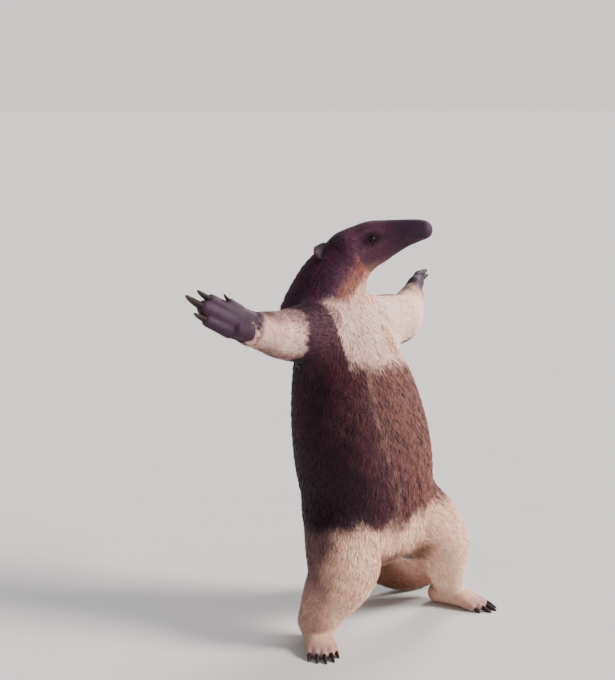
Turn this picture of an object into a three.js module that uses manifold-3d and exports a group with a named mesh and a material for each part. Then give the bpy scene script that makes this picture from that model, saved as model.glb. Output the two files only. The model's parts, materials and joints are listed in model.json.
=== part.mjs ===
// A southern tamandua standing upright on its hind legs, arms spread, tail on the floor.
// Millimetres, +Z up, the animal faces -Y and its left is +X. The floor is z = 0.
import * as THREE from 'three';
import { mergeVertices } from 'three/addons/utils/BufferGeometryUtils.js';
import Module from 'manifold-3d';

const wasm = await Module();
wasm.setup();

const V = (x, y, z) => new THREE.Vector3(x, y, z);
const UP = V(0, 0, 1);

// Driving sizes
const GAP = 0.3;
const FLOOR_REACH = 60;
const SETTLE = 1.4;
const TORSO_CELL = 15;
const HAND_CELL = 9;
const FOOT_CELL = 10;
const EYE_RADIUS = 4.6;
const FAR_OUT = 1e3;
const HAND_REACH = 62;
const TRUNK_LOW = V(-130, -90, 55);
const TRUNK_HIGH = V(130, 160, 530);

// Stations of each tube: x, y, z of the centre line, half width, half depth.
const TORSO = [
  [0, 26, 122, 54, 44],
  [-3, 21, 165, 94, 75],
  [-5, 31, 235, 109, 94],
  [-11, 43, 312, 105, 92],
  [-16, 60, 385, 85, 80],
  [-22, 76, 440, 65, 62],
];
const NECK = [
  [-38, 91, 464, 65, 57],
  [-27, 85, 508, 52, 46],
  [-6, 71, 547, 39, 37],
];
const TAIL = [
  [6, 64, 126, 34, 32],
  [40, 87, 84, 31, 30],
  [81, 91, 47, 29, 27],
  [124, 85, 27, 27, 25.5],
  [170, 82, 23, 22.5, 22],
  [217, 102, 19, 19, 18],
  [248, 143, 15.5, 16, 15],
  [258, 201, 12, 13, 12],
  [248, 261, 9.5, 10.5, 10],
];
const JOINTS = {
  right: {
    shoulder: V(-66, 58, 440),
    elbow: V(-141, 59, 446),
    wrist: V(-212, 36, 464),
    hip: V(-54, 22, 172),
    knee: V(-95, -27, 108),
    ankle: V(-128, -8, 34),
    fingers: V(-0.83, 0.2, 0.45),
    palm: V(-0.2, -0.85, 0.2),
    toes: V(-0.48, -0.88, 0),
    calf: 1.1,
  },
  left: {
    shoulder: V(34, 66, 442),
    elbow: V(101, 70, 447),
    wrist: V(155, 110, 467),
    hip: V(53, 20, 172),
    knee: V(103, -22, 116),
    ankle: V(140, 0, 34),
    fingers: V(0.64, 0.66, 0.3),
    palm: V(0.35, -0.75, -0.3),
    toes: V(0.42, -0.9, 0),
    calf: 0.92,
  },
};
const SIDES = ['right', 'left'];

// Along a limb, 0 is its first joint, 1 the elbow or knee, 2 the wrist or ankle.
// Each row: place along it, half width, half depth.
const ARM = [
  [0.1, 46, 40],
  [0.6, 42, 36],
  [1.0, 36, 31],
  [1.5, 30, 27],
  [2.0, 24, 20],
];
const LEG = [
  [0.0, 60, 62],
  [0.5, 57, 58],
  [1.0, 49, 46],
  [1.5, 38, 36],
  [2.0, 28, 25],
];

// In the head's own frame: forward from behind the skull, its left, up, half width, half height.
const SKULL = V(2, 66, 557);
const SNOUT = V(68, -34, 594);
const SKULL_BACK = 26;
const HEAD = [
  [6, 0, -5, 26, 27],
  [28, 0, 0, 31, 34],
  [54, 0, 3.4, 28, 34.4],
  [80, 0, 4.6, 22, 27.6],
  [104, 0, 4.8, 17.5, 21.3],
  [126, 0, 3.2, 14, 17],
  [137, 0, 1.5, 12, 14],
];

// In the hand's frame: along the fingers, to the thumb side, to the back of the hand.
const PALM = [
  [-4, 0, 0, 22, 18],
  [14, 0, -1, 24, 17],
  [34, 0, -1, 26, 14],
  [44, 0, -3, 22, 11],
];
const WRIST_PAD = [
  [6, -7, -13, 12, 9],
  [20, -12, -13, 10, 7],
];
// Each digit: its root, its tip, the two radii and the length of its claw beyond the tip.
const FINGERS = [
  { root: V(28, 16, -3), tip: V(45, 20, -7), radii: [8.5, 5.5], claw: 14 },
  { root: V(32, 9, -2), tip: V(72, 10, -8), radii: [11, 9], claw: 24 },
  { root: V(32, -4, -2), tip: V(78, -4, -9), radii: [13, 11], claw: 32 },
  { root: V(30, -16, -3), tip: V(66, -18, -8), radii: [11, 9], claw: 22 },
];
// In the foot's frame: along the toes, to the inner side, up.
const SOLE = [
  [-17, 0, -19.5, 17, 16],
  [8, 0, -18.5, 20, 17],
  [34, 0, -23.5, 23, 12],
  [44, 0, -25.5, 21, 10],
];
const TOES = [
  { root: V(36, 15, -26), tip: V(48, 18, -28.5), radii: [7.5, 6], claw: 10 },
  { root: V(40, 8.5, -26), tip: V(56, 10, -28), radii: [8, 6.5], claw: 16 },
  { root: V(40, 0, -26), tip: V(59, 0, -28), radii: [8, 6.5], claw: 17 },
  { root: V(40, -8.5, -26), tip: V(56, -10, -28), radii: [8, 6.5], claw: 16 },
  { root: V(36, -16, -26), tip: V(50, -19, -28.5), radii: [7.5, 6], claw: 14 },
];

// Frames: an origin and three axes at right angles
function makeFrame(origin, forward, towards) {
  const f = forward.clone().normalize();
  const u = towards.clone().addScaledVector(f, -towards.dot(f)).normalize();
  const s = u.clone().cross(f);
  return { origin, f, s, u };
}

// A direction given along a frame's three axes
function turned(frame, f, s, u) {
  const out = frame.f.clone().multiplyScalar(f);
  return out.addScaledVector(frame.s, s).addScaledVector(frame.u, u);
}

function place(frame, f, s, u) {
  return turned(frame, f, s, u).add(frame.origin);
}

const toSkull = SNOUT.clone().sub(SKULL).normalize();
const HEAD_FRAME = makeFrame(SKULL.clone().addScaledVector(toSkull, -SKULL_BACK), toSkull, UP);

// The second axis points to the thumb on a hand and to the inner side on a foot.
function handFrame(side) {
  const { wrist, fingers, palm } = JOINTS[side];
  const frame = makeFrame(wrist, fingers, palm.clone().negate());
  if (side === 'left') frame.s.negate();
  return frame;
}

function footFrame(side) {
  const { ankle, toes } = JOINTS[side];
  const frame = makeFrame(ankle, toes, UP);
  if (side === 'left') frame.s.negate();
  return frame;
}

// Curves through stations
function blend(a, b, c, d, t) {
  const square = 2 * a - 5 * b + 4 * c - d;
  const cube = 3 * b - 3 * c + d - a;
  return 0.5 * (2 * b + (c - a) * t + square * t ** 2 + cube * t ** 3);
}

function blendRows([a, b, c, d], t) {
  return a.map((_, k) => blend(a[k], b[k], c[k], d[k], t));
}

function spline(stations, perSpan) {
  const last = stations.length - 1;
  const mirrored = (end, next) => end.map((value, i) => 2 * value - next[i]);
  const rows = [
    mirrored(stations[0], stations[1]),
    ...stations,
    mirrored(stations[last], stations[last - 1]),
  ];
  const out = [];
  for (let i = 0; i < last; i++)
    for (let n = 0; n < perSpan; n++) out.push(blendRows(rows.slice(i, i + 4), n / perSpan));
  out.push(stations[last]);
  return out;
}

function inFrame(frame, rows) {
  return rows.map(([f, s, u, width, height]) => [...place(frame, f, s, u).toArray(), width, height]);
}

function limbRows(first, middle, end, profile, stout = 1) {
  return profile.map(([t, width, height]) => {
    const p = t <= 1 ? first.clone().lerp(middle, t) : middle.clone().lerp(end, t - 1);
    const size = t < 1 ? 1 : stout;
    return [...p.toArray(), width * size, height * size];
  });
}

// The body as a field: negative inside, about the distance to the surface near it
class Tube {
  constructor(rows, side, soft) {
    this.soft = soft;
    this.parts = rows.slice(1).map((end, i) => this.part(rows[i], end, side));
    const box = new THREE.Box3();
    const widest = Math.max(...rows.map((row) => Math.max(row[3], row[4])));
    rows.forEach((row) => box.expandByPoint(V(row[0], row[1], row[2])));
    this.box = box.expandByScalar(widest + soft + 30);
  }

  part(a, b, side) {
    const start = V(a[0], a[1], a[2]);
    const along = V(b[0], b[1], b[2]).sub(start);
    const length = along.length();
    const axis = along.divideScalar(length);
    const s = side.clone().addScaledVector(axis, -side.dot(axis)).normalize();
    return { start, axis, length, s, o: axis.clone().cross(s), a, b };
  }

  distance(p) {
    let best = Infinity;
    const q = V(0, 0, 0);
    for (const { start, axis, length, s, o, a, b } of this.parts) {
      q.subVectors(p, start);
      const along = q.dot(axis);
      const t = Math.min(Math.max(along / length, 0), 1);
      const width = a[3] + (b[3] - a[3]) * t;
      const height = a[4] + (b[4] - a[4]) * t;
      const end = Math.min(width, height);
      const x = q.dot(s);
      const y = q.dot(o);
      const z = along - t * length;
      const k = Math.hypot(x / width, y / height, z / end);
      const slope = Math.hypot(x / width ** 2, y / height ** 2, z / end ** 2);
      best = Math.min(best, k < 1e-3 ? -end : (k * (k - 1)) / slope);
    }
    return best;
  }
}

function softMin(a, b, k) {
  const h = Math.min(Math.max(0.5 + (0.5 * (b - a)) / k, 0), 1);
  return b + (a - b) * h - k * h * (1 - h);
}

function fieldOf(tubes) {
  return (p) => {
    let d = FAR_OUT;
    for (const tube of tubes) if (tube.box.containsPoint(p)) d = softMin(d, tube.distance(p), tube.soft);
    return d;
  };
}

const LEFT = V(1, 0, 0);
const DEPTH = V(0, 1, 0);
const torsoTube = new Tube(spline(TORSO, 3), LEFT, 1);
const neckTube = new Tube(spline(NECK, 4), V(0.6, -0.3, 0.3), 30);
const headTube = new Tube(inFrame(HEAD_FRAME, spline(HEAD, 3)), HEAD_FRAME.s, 16);
const tailTube = new Tube(spline(TAIL, 3), LEFT, 16);
const armTube = {};
const legTube = {};
const handTubes = {};
const footTubes = {};
for (const side of SIDES) {
  const { shoulder, elbow, wrist, hip, knee, ankle, calf } = JOINTS[side];
  armTube[side] = new Tube(spline(limbRows(shoulder, elbow, wrist, ARM), 3), UP, 24);
  legTube[side] = new Tube(spline(limbRows(hip, knee, ankle, LEG, calf), 3), DEPTH, 18);
  const hand = handFrame(side);
  handTubes[side] = [
    new Tube(inFrame(hand, spline(PALM, 3)), hand.s, 8),
    new Tube(inFrame(hand, WRIST_PAD), hand.s, 5),
  ];
  const foot = footFrame(side);
  footTubes[side] = [new Tube(inFrame(foot, spline(SOLE, 3)), foot.s, 9)];
}
const limbTubes = [armTube.right, armTube.left, legTube.right, legTube.left];
const trunkField = fieldOf([torsoTube, neckTube, headTube, ...limbTubes, tailTube]);
const headOnly = fieldOf([headTube, neckTube]);

// Where the body is parted: a point of each cut, and the way out to the limb's tip
const CUTS = {
  neck: [V(-27, 84, 498), V(0, -0.12, 1)],
  head: [place(HEAD_FRAME, 4, 0, -12), turned(HEAD_FRAME, 0.8, 0, 0.6)],
  waist: [V(-4, 38, 306), V(0, 0, 1)],
  tail: [V(23, 76, 104), V(0.58, 0.39, -0.71)],
  right: {
    shoulder: [V(-108, 58, 444), V(-1, 0, -0.08)],
    elbow: [JOINTS.right.elbow, V(-0.98, -0.15, 0.2)],
    wrist: [JOINTS.right.wrist, V(-0.9, -0.05, 0.4)],
    hip: [V(-66, -4, 150), V(-0.7, -0.35, -0.62)],
    knee: [JOINTS.right.knee, V(-0.42, -0.12, -0.9)],
    ankle: [V(-125, -10, 43), V(0, 0, -1)],
  },
  left: {
    shoulder: [V(72, 67, 445), V(1, 0, -0.08)],
    elbow: [JOINTS.left.elbow, V(0.87, 0.34, 0.24)],
    wrist: [JOINTS.left.wrist, V(0.7, 0.58, 0.41)],
    hip: [V(66, -1, 150), V(0.7, -0.35, -0.62)],
    knee: [JOINTS.left.knee, V(0.45, -0.02, -0.9)],
    ankle: [V(137, 0, 43), V(0, 0, -1)],
  },
};

// Closed solids from vertices and triangles
function solid(positions, triangles) {
  return new wasm.Manifold(
    new wasm.Mesh({
      numProp: 3,
      vertProperties: new Float32Array(positions.flatMap((p) => p.toArray())),
      triVerts: new Uint32Array(triangles.flat()),
    }),
  );
}

function solidOf(geometry) {
  const bare = geometry.clone();
  bare.deleteAttribute('normal');
  bare.deleteAttribute('uv');
  const merged = mergeVertices(bare, 1e-4);
  return new wasm.Manifold(
    new wasm.Mesh({
      numProp: 3,
      vertProperties: merged.attributes.position.array,
      triVerts: new Uint32Array(merged.index.array),
    }),
  );
}

// A round bar that starts at a point and runs along a direction, for cutting.
function bar(origin, direction, radius, length) {
  const geometry = new THREE.CylinderGeometry(radius, radius, length, 32);
  geometry.translate(0, length / 2, 0);
  const turn = new THREE.Quaternion().setFromUnitVectors(V(0, 1, 0), direction.clone().normalize());
  geometry.applyQuaternion(turn);
  geometry.translate(origin.x, origin.y, origin.z);
  return solidOf(geometry);
}

function beyond([point, way], radius, length) {
  return bar(point.clone().addScaledVector(way.clone().normalize(), -GAP / 2), way, radius, length);
}

function before([point, way], radius, length) {
  const out = way.clone().normalize();
  return bar(point.clone().addScaledVector(out, GAP / 2), out.negate(), radius, length);
}

function largest(cut) {
  return cut.decompose().sort((a, b) => b.volume() - a.volume())[0];
}

// The way a line of points runs at one of them
function alongLine(points, i) {
  const next = points[Math.min(i + 1, points.length - 1)];
  return next.clone().sub(points[Math.max(i - 1, 0)]).normalize();
}

// Rings of points around a centre line
function closedRings(rings, tip) {
  const sides = rings[0].points.length;
  const positions = [rings[0].centre, ...rings.flatMap((ring) => ring.points), tip ?? rings.at(-1).centre];
  const end = positions.length - 1;
  const triangles = [];
  for (let k = 0; k < sides; k++) {
    const next = (k + 1) % sides;
    triangles.push([0, 1 + next, 1 + k]);
    triangles.push([end, end - sides + k, end - sides + next]);
    for (let i = 0; i + 1 < rings.length; i++) {
      const a = 1 + i * sides;
      const b = a + sides;
      triangles.push([a + k, a + next, b + next], [a + k, b + next, b + k]);
    }
  }
  return solid(positions, triangles);
}

// How far the surface is from a point inside, along a direction.
function reach(field, origin, direction, furthest) {
  const p = V(0, 0, 0);
  const at = (r) => field(p.copy(origin).addScaledVector(direction, r));
  let far = 0;
  let value = at(0);
  while (value < 0 && far < furthest) {
    far += Math.max(-value * 0.9, 0.4);
    value = at(far);
  }
  if (value < 0) return furthest;
  let near = Math.max(far - 12, 0);
  while (at(near) > 0 && near > 0) near -= 2;
  for (let i = 0; i < 14; i++) {
    const middle = (near + far) / 2;
    if (at(middle) < 0) near = middle;
    else far = middle;
  }
  return far;
}

// A length of body between two cuts: rings turn evenly from the first cut's plane to the last one's.
// A stop is a point of the centre line and the ring's direction there. A pointed one closes on a tip.
function length(field, stops, { sides, step, furthest = 90, pointed = false, rests = false }) {
  const rows = stops.map(([point, way]) => [...point.toArray(), ...way.clone().normalize().toArray()]);
  const span = stops.slice(1).map(([point], i) => point.distanceTo(stops[i][0]));
  const line = [];
  rows.slice(1).forEach((row, i) => {
    const count = Math.max(1, Math.round(span[i] / step));
    for (let n = 0; n < count; n++) line.push([i, n / count]);
  });
  line.push([rows.length - 2, 1]);
  const padded = [rows[0], ...rows, rows.at(-1)];
  let across = V(0.31, 0.27, 0.91);
  const rings = line.map(([i, t]) => {
    const row = blendRows(padded.slice(i, i + 4), t);
    const centre = V(row[0], row[1], row[2]);
    const way = V(row[3], row[4], row[5]).normalize();
    across = across.clone().addScaledVector(way, -across.dot(way)).normalize();
    return { centre, way, across };
  });
  rings[0].centre.addScaledVector(rings[0].way, GAP / 2);
  if (!pointed) rings.at(-1).centre.addScaledVector(rings.at(-1).way, -GAP / 2);
  for (const ring of rings) {
    const other = ring.way.clone().cross(ring.across);
    ring.points = Array.from({ length: sides }, (_, k) => {
      const turn = (2 * Math.PI * k) / sides;
      const out = ring.across.clone().multiplyScalar(Math.cos(turn)).addScaledVector(other, Math.sin(turn));
      const p = ring.centre.clone().addScaledVector(out, reach(field, ring.centre, out, furthest));
      if (rests && p.z < SETTLE) p.z = 0;
      return p;
    });
  }
  const last = rings.at(-1);
  if (!pointed) return closedRings(rings);
  const ahead = reach(field, last.centre, last.way, furthest);
  return closedRings(rings, last.centre.clone().addScaledVector(last.way, ahead));
}

// A block of the body as a net of near square faces, one point for each cell that the surface crosses
function net(field, low, high, cell) {
  const count = high.clone().sub(low).divideScalar(cell).ceil().addScalar(1);
  const [nx, ny, nz] = count.toArray();
  const at = (i, j, k) => (i * ny + j) * nz + k;
  const spot = (i, j, k) => V(low.x + i * cell, low.y + j * cell, low.z + k * cell);
  const values = new Float64Array(nx * ny * nz);
  for (let i = 0; i < nx; i++)
    for (let j = 0; j < ny; j++)
      for (let k = 0; k < nz; k++) {
        const edge = i === 0 || j === 0 || k === 0 || i === nx - 1 || j === ny - 1 || k === nz - 1;
        values[at(i, j, k)] = edge ? cell : field(spot(i, j, k));
      }
  const corners = [0, 1, 2, 3, 4, 5, 6, 7].map((c) => [c >> 2, (c >> 1) & 1, c & 1]);
  const beside = (a, b) => a.filter((v, n) => v !== b[n]).length === 1;
  const pairs = corners.flatMap((a, i) => corners.slice(i + 1).map((b) => [a, b]));
  const edges = pairs.filter(([a, b]) => beside(a, b));
  const points = [];
  const pointOf = new Int32Array(nx * ny * nz).fill(-1);
  for (let i = 0; i + 1 < nx; i++)
    for (let j = 0; j + 1 < ny; j++)
      for (let k = 0; k + 1 < nz; k++) {
        const sum = V(0, 0, 0);
        let crossings = 0;
        for (const [a, b] of edges) {
          const va = values[at(i + a[0], j + a[1], k + a[2])];
          const vb = values[at(i + b[0], j + b[1], k + b[2])];
          if (va < 0 === vb < 0) continue;
          const start = spot(i + a[0], j + a[1], k + a[2]);
          sum.add(start.lerp(spot(i + b[0], j + b[1], k + b[2]), va / (va - vb)));
          crossings++;
        }
        if (!crossings) continue;
        pointOf[at(i, j, k)] = points.length;
        points.push(settle(field, sum.divideScalar(crossings), cell));
      }
  const triangles = [];
  const quad = (a, b, c, d, flip) => {
    const [p, q, r, s] = (flip ? [d, c, b, a] : [a, b, c, d]).map((id) => pointOf[id]);
    const shorter = points[p].distanceTo(points[r]) < points[q].distanceTo(points[s]);
    if (shorter) triangles.push([p, q, r], [p, r, s]);
    else triangles.push([q, r, s], [q, s, p]);
  };
  for (let i = 0; i + 1 < nx; i++)
    for (let j = 0; j + 1 < ny; j++)
      for (let k = 0; k + 1 < nz; k++) {
        const inside = values[at(i, j, k)] < 0;
        if (j > 0 && k > 0 && inside !== values[at(i + 1, j, k)] < 0)
          quad(at(i, j - 1, k - 1), at(i, j, k - 1), at(i, j, k), at(i, j - 1, k), !inside);
        if (i > 0 && k > 0 && inside !== values[at(i, j + 1, k)] < 0)
          quad(at(i - 1, j, k - 1), at(i - 1, j, k), at(i, j, k), at(i, j, k - 1), !inside);
        if (i > 0 && j > 0 && inside !== values[at(i, j, k + 1)] < 0)
          quad(at(i - 1, j - 1, k), at(i, j - 1, k), at(i, j, k), at(i - 1, j, k), !inside);
      }
  return solid(points, triangles);
}

// Moves a net's point onto the surface, by less than half a cell.
function settle(field, point, cell) {
  const h = 0.5;
  const start = point.clone();
  for (let i = 0; i < 3; i++) {
    const value = field(point);
    const slope = V(
      field(point.clone().add(V(h, 0, 0))) - value,
      field(point.clone().add(V(0, h, 0))) - value,
      field(point.clone().add(V(0, 0, h))) - value,
    ).divideScalar(h);
    if (slope.lengthSq() < 0.05) return start;
    point.addScaledVector(slope, -value / slope.lengthSq());
  }
  return point.distanceTo(start) < cell / 2 ? point : start;
}

// Limits a field to one side of a plane, a little beyond a cut, so that a block has an end there
function capped(field, caps) {
  const planes = caps.map(([[point, way], radius, past]) => [point, way.clone().normalize(), radius, past]);
  return (p) => {
    let d = field(p);
    for (const [point, way, radius, past] of planes) {
      const q = p.clone().sub(point);
      const out = q.dot(way);
      const aside = Math.sqrt(Math.max(q.lengthSq() - out * out, 0));
      if (out > -past && aside < radius) d = Math.max(d, out - past);
    }
    return d;
  };
}

// Chest and abdomen
function trunk() {
  const ends = [
    [CUTS.neck, 95],
    [CUTS.tail, 55],
    [CUTS.right.shoulder, 70],
    [CUTS.left.shoulder, 70],
    [CUTS.right.hip, 95],
    [CUTS.left.hip, 95],
  ];
  const past = TORSO_CELL * 1.5;
  const field = capped(trunkField, ends.map(([cut, radius]) => [cut, radius + 40, past]));
  let body = net(field, TRUNK_LOW, TRUNK_HIGH, TORSO_CELL);
  for (const [cut, radius] of ends) body = body.subtract(beyond(cut, radius, 70));
  body = largest(body);
  const tall = 300;
  const wide = 200;
  return {
    chest: body.subtract(before(CUTS.waist, wide, tall)),
    abdomen: body.subtract(beyond(CUTS.waist, wide, tall)),
  };
}

// Claws: a curved horn from inside the digit's tip to a point, narrower than it is deep
const CLAW_NARROW = 0.72;
const CLAW_TO_DIGIT = 0.72;

function horn(frame, { start, long, radius, bend, grow = 0, sides = 6, rings = 5 }) {
  const list = [];
  for (let i = 0; i < rings; i++) {
    const t = i / rings;
    const angle = bend * t;
    const run = (long / bend) * Math.sin(angle);
    const drop = (long / bend) * (1 - Math.cos(angle));
    const r = radius * Math.sqrt(1 - t ** 1.6) + grow;
    const centre = place(frame, start + run - (i === 0 ? grow : 0), 0, -drop);
    const up = turned(frame, Math.sin(angle), 0, Math.cos(angle));
    const points = Array.from({ length: sides }, (_, k) => {
      const turn = (2 * Math.PI * k) / sides;
      const p = centre.clone().addScaledVector(frame.s, CLAW_NARROW * r * Math.cos(turn));
      p.addScaledVector(up, r * Math.sin(turn));
      p.z = Math.max(p.z, -grow);
      return p;
    });
    list.push({ centre, points });
  }
  const end = (long / bend) * Math.sin(bend);
  const droop = (long / bend) * (1 - Math.cos(bend));
  const tip = place(frame, start + end + grow, 0, -droop - grow);
  tip.z = Math.max(tip.z, -grow);
  return outward(closedRings(list, tip));
}

// Turns a solid's faces out when its rings ran the other way round.
function outward(made) {
  if (made.volume() > 0) return made;
  const mesh = made.getMesh();
  const triangles = [];
  for (let i = 0; i < mesh.triVerts.length; i += 3)
    triangles.push(mesh.triVerts[i], mesh.triVerts[i + 2], mesh.triVerts[i + 1]);
  return new wasm.Manifold(
    new wasm.Mesh({ numProp: 3, vertProperties: mesh.vertProperties, triVerts: new Uint32Array(triangles) }),
  );
}

function clawFrame(limb, { root, tip }) {
  const from = place(limb, root.x, root.y, root.z);
  const to = place(limb, tip.x, tip.y, tip.z);
  return makeFrame(to, to.clone().sub(from), limb.u);
}

// A finger or toe: a tapered bar from inside the palm to a round tip, flat where it meets the floor.
function digitBody(limb, { root, tip, radii }) {
  const sides = 8;
  const frame = clawFrame(limb, { root, tip });
  const long = root.distanceTo(tip);
  const stops = [
    [-long, radii[0]],
    [-long * 0.4, (radii[0] + radii[1]) / 2],
    [0, radii[1]],
    [radii[1] * 0.55, radii[1] * 0.83],
    [radii[1] * 0.88, radii[1] * 0.46],
  ];
  const rings = stops.map(([f, r]) => {
    const points = Array.from({ length: sides }, (_, k) => {
      const turn = (2 * Math.PI * k) / sides;
      const p = place(frame, f, r * Math.cos(turn), r * Math.sin(turn));
      p.z = Math.max(p.z, 0);
      return p;
    });
    return { centre: place(frame, f, 0, 0), points };
  });
  return outward(closedRings(rings, place(frame, radii[1], 0, 0)));
}

// A hand or foot with its claws: each claw sits in a close socket in its digit.
function extremity({ field, low, high, cell, cutters, frame, digits, bend }) {
  let body = net(field, low, high, cell);
  for (const cutter of cutters) body = body.subtract(cutter);
  for (const digit of digits) body = body.add(digitBody(frame, digit));
  const claws = digits.map((digit) => {
    const seat = clawFrame(frame, digit);
    const tipRadius = digit.radii[1];
    const radius = tipRadius * CLAW_TO_DIGIT;
    const shape = { start: -tipRadius * 0.2, long: digit.claw + tipRadius * 1.2, radius, bend };
    body = body.subtract(horn(seat, { ...shape, grow: GAP }));
    return horn(seat, shape);
  });
  return { body: largest(body), claws };
}

function hand(side) {
  const frame = handFrame(side);
  const middle = place(frame, 30, 0, -4);
  const cut = CUTS[side].wrist;
  const back = [cut[0], cut[1].clone().negate()];
  const whole = fieldOf([armTube[side], ...handTubes[side]]);
  const field = capped(whole, [[back, HAND_REACH, HAND_CELL * 2]]);
  return extremity({
    field,
    low: middle.clone().subScalar(HAND_REACH),
    high: middle.clone().addScalar(HAND_REACH),
    cell: HAND_CELL,
    cutters: [before(cut, HAND_REACH, 40)],
    frame,
    digits: FINGERS,
    bend: 0.5,
  });
}

function foot(side) {
  const frame = footFrame(side);
  const middle = place(frame, 18, 0, 0);
  const top = CUTS[side].ankle;
  return extremity({
    field: fieldOf([legTube[side], ...footTubes[side]]),
    low: V(middle.x - HAND_REACH, middle.y - HAND_REACH, -9),
    high: V(middle.x + HAND_REACH, middle.y + HAND_REACH, top[0].z + 12),
    cell: FOOT_CELL,
    cutters: [before(top, 80, 40), bar(V(middle.x, middle.y, 0), V(0, 0, -1), 90, FLOOR_REACH)],
    frame,
    digits: TOES,
    bend: 0.35,
  });
}

// The ear: a cupped leaf whose root is set into the head
function ear(mirror, grow = 0) {
  const stations = [
    // forward, out, up, half width, cup depth, thickness
    [14, 22, 0, 8, 3, 9],
    [9.5, 28, 3.5, 11, 5, 6.5],
    [3, 33, 7, 13.5, 6.5, 3.6],
    [-4, 37, 10.5, 14.5, 7, 3],
    [-10, 40.5, 13.5, 13, 6, 2.8],
    [-15, 43, 16, 9, 3.6, 2.6],
    [-18, 44.5, 17.5, 4.5, 1.2, 2.4],
  ];
  const steps = 5;
  const face = turned(HEAD_FRAME, 0.78, 0.42 * mirror, 0.1);
  const centres = stations.map(([f, s, u]) => place(HEAD_FRAME, f, s * mirror, u));
  const rings = stations.map(([, , , wide, deep, thick], i) => {
    const along = alongLine(centres, i);
    const front = face.clone().addScaledVector(along, -face.dot(along)).normalize();
    const side = along.clone().cross(front);
    const shift = i === 0 ? -grow : 0;
    const centre = centres[i].clone().addScaledVector(along, shift);
    const edge = (sign) =>
      Array.from({ length: steps }, (_, k) => {
        const a = ((k / (steps - 1)) * 2 - 1) * sign;
        const back = deep * (1 - a * a);
        return centre
          .clone()
          .addScaledVector(side, a * (wide + grow))
          .addScaledVector(front, -back + sign * (thick * (0.5 - 0.28 * Math.abs(a)) + grow));
      });
    return { centre: centre.clone().addScaledVector(front, -deep * 0.7), points: [...edge(1), ...edge(-1)] };
  });
  return outward(closedRings(rings));
}

// A bent round bar through points, with round enough ends for a lip, lid or pit
function bead(points, radii, sides = 5) {
  const rings = points.map((centre, i) => {
    const along = alongLine(points, i);
    const side = V(0.2, 0.1, 1).cross(along).normalize();
    const other = along.clone().cross(side);
    return {
      centre,
      points: Array.from({ length: sides }, (_, k) => {
        const turn = (2 * Math.PI * k) / sides;
        const p = centre.clone().addScaledVector(side, radii[i] * Math.cos(turn));
        return p.addScaledVector(other, radii[i] * Math.sin(turn));
      }),
    };
  });
  return outward(closedRings(rings));
}

function headSurface(f, u, side, sink = 0) {
  const origin = place(HEAD_FRAME, f, 0, u);
  const out = HEAD_FRAME.s.clone().multiplyScalar(side);
  return origin.clone().addScaledVector(out, reach(headOnly, origin, out, 60) - sink);
}

const EYE = { forward: 64, up: 9.5, sink: 2.6 };

function eyeCentre(mirror) {
  return headSurface(EYE.forward, EYE.up, mirror, EYE.sink);
}

function eyeBall(mirror, radius) {
  const geometry = new THREE.SphereGeometry(radius, 12, 7);
  const centre = eyeCentre(mirror);
  geometry.translate(centre.x, centre.y, centre.z);
  return solidOf(geometry);
}

// Upper and lower lid as two bowed beads over the eye's rim.
function lids(mirror) {
  const centre = eyeCentre(mirror);
  const out = HEAD_FRAME.s.clone().multiplyScalar(mirror);
  const half = EYE_RADIUS * 1.5;
  const count = 7;
  const lid = (rise) =>
    bead(
      Array.from({ length: count }, (_, i) => {
        const a = (i / (count - 1)) * 2 - 1;
        return centre
          .clone()
          .addScaledVector(HEAD_FRAME.f, a * half)
          .addScaledVector(HEAD_FRAME.u, rise * (1 - a * a))
          .addScaledVector(out, EYE.sink - 0.4 + 0.7 * (1 - a * a));
      }),
      [0.9, 1.6, 2.0, 2.1, 2.0, 1.6, 0.9],
    );
  return [lid(EYE_RADIUS * 0.92), lid(-EYE_RADIUS * 0.9)];
}

// The short mouth at the end of the snout: a slit on each side between two lips.
function mouthLine(mirror, rise, sink) {
  const corner = 112;
  const front = 144;
  const count = 7;
  return Array.from({ length: count }, (_, i) => {
    const t = i / (count - 1);
    const f = corner + (front - corner) * t;
    return headSurface(f, -4.5 - 2.5 * t + rise, mirror, sink);
  });
}

function head() {
  const stops = [
    CUTS.head,
    [place(HEAD_FRAME, 30, 0, -4), HEAD_FRAME.f.clone().addScaledVector(HEAD_FRAME.u, 0.25)],
    [place(HEAD_FRAME, 60, 0, 3.5), HEAD_FRAME.f],
    [place(HEAD_FRAME, 100, 0, 4.7), HEAD_FRAME.f],
    [place(HEAD_FRAME, 128, 0, 2.7), HEAD_FRAME.f],
    [place(HEAD_FRAME, 138, 0, 1.6), HEAD_FRAME.f],
    [place(HEAD_FRAME, 145, 0, 1), HEAD_FRAME.f],
  ];
  let skull = length(trunkField, stops, { sides: 20, step: 8.5, furthest: 60, pointed: true });
  for (const mirror of [1, -1]) {
    const lipRadii = [0.6, 1.0, 1.2, 1.3, 1.3, 1.2, 0.8];
    skull = skull.add(bead(mouthLine(mirror, 1.7, 0.5), lipRadii));
    skull = skull.add(bead(mouthLine(mirror, -1.7, 0.5), lipRadii));
    for (const lid of lids(mirror)) skull = skull.add(lid);
    skull = skull.subtract(eyeBall(mirror, EYE_RADIUS + GAP));
    skull = skull.subtract(ear(mirror, GAP));
    skull = skull.subtract(bead(mouthLine(mirror, 0, 0.6), [0.3, 0.6, 0.75, 0.8, 0.8, 0.8, 0.7], 4));
    const nostril = [
      place(HEAD_FRAME, 142, 3.2 * mirror, 4.2),
      place(HEAD_FRAME, 146.5, 4.4 * mirror, 4.8),
      place(HEAD_FRAME, 151, 6.2 * mirror, 5),
    ];
    skull = skull.subtract(bead(nostril, [0.8, 1.5, 2.2]));
  }
  return largest(skull);
}

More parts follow.
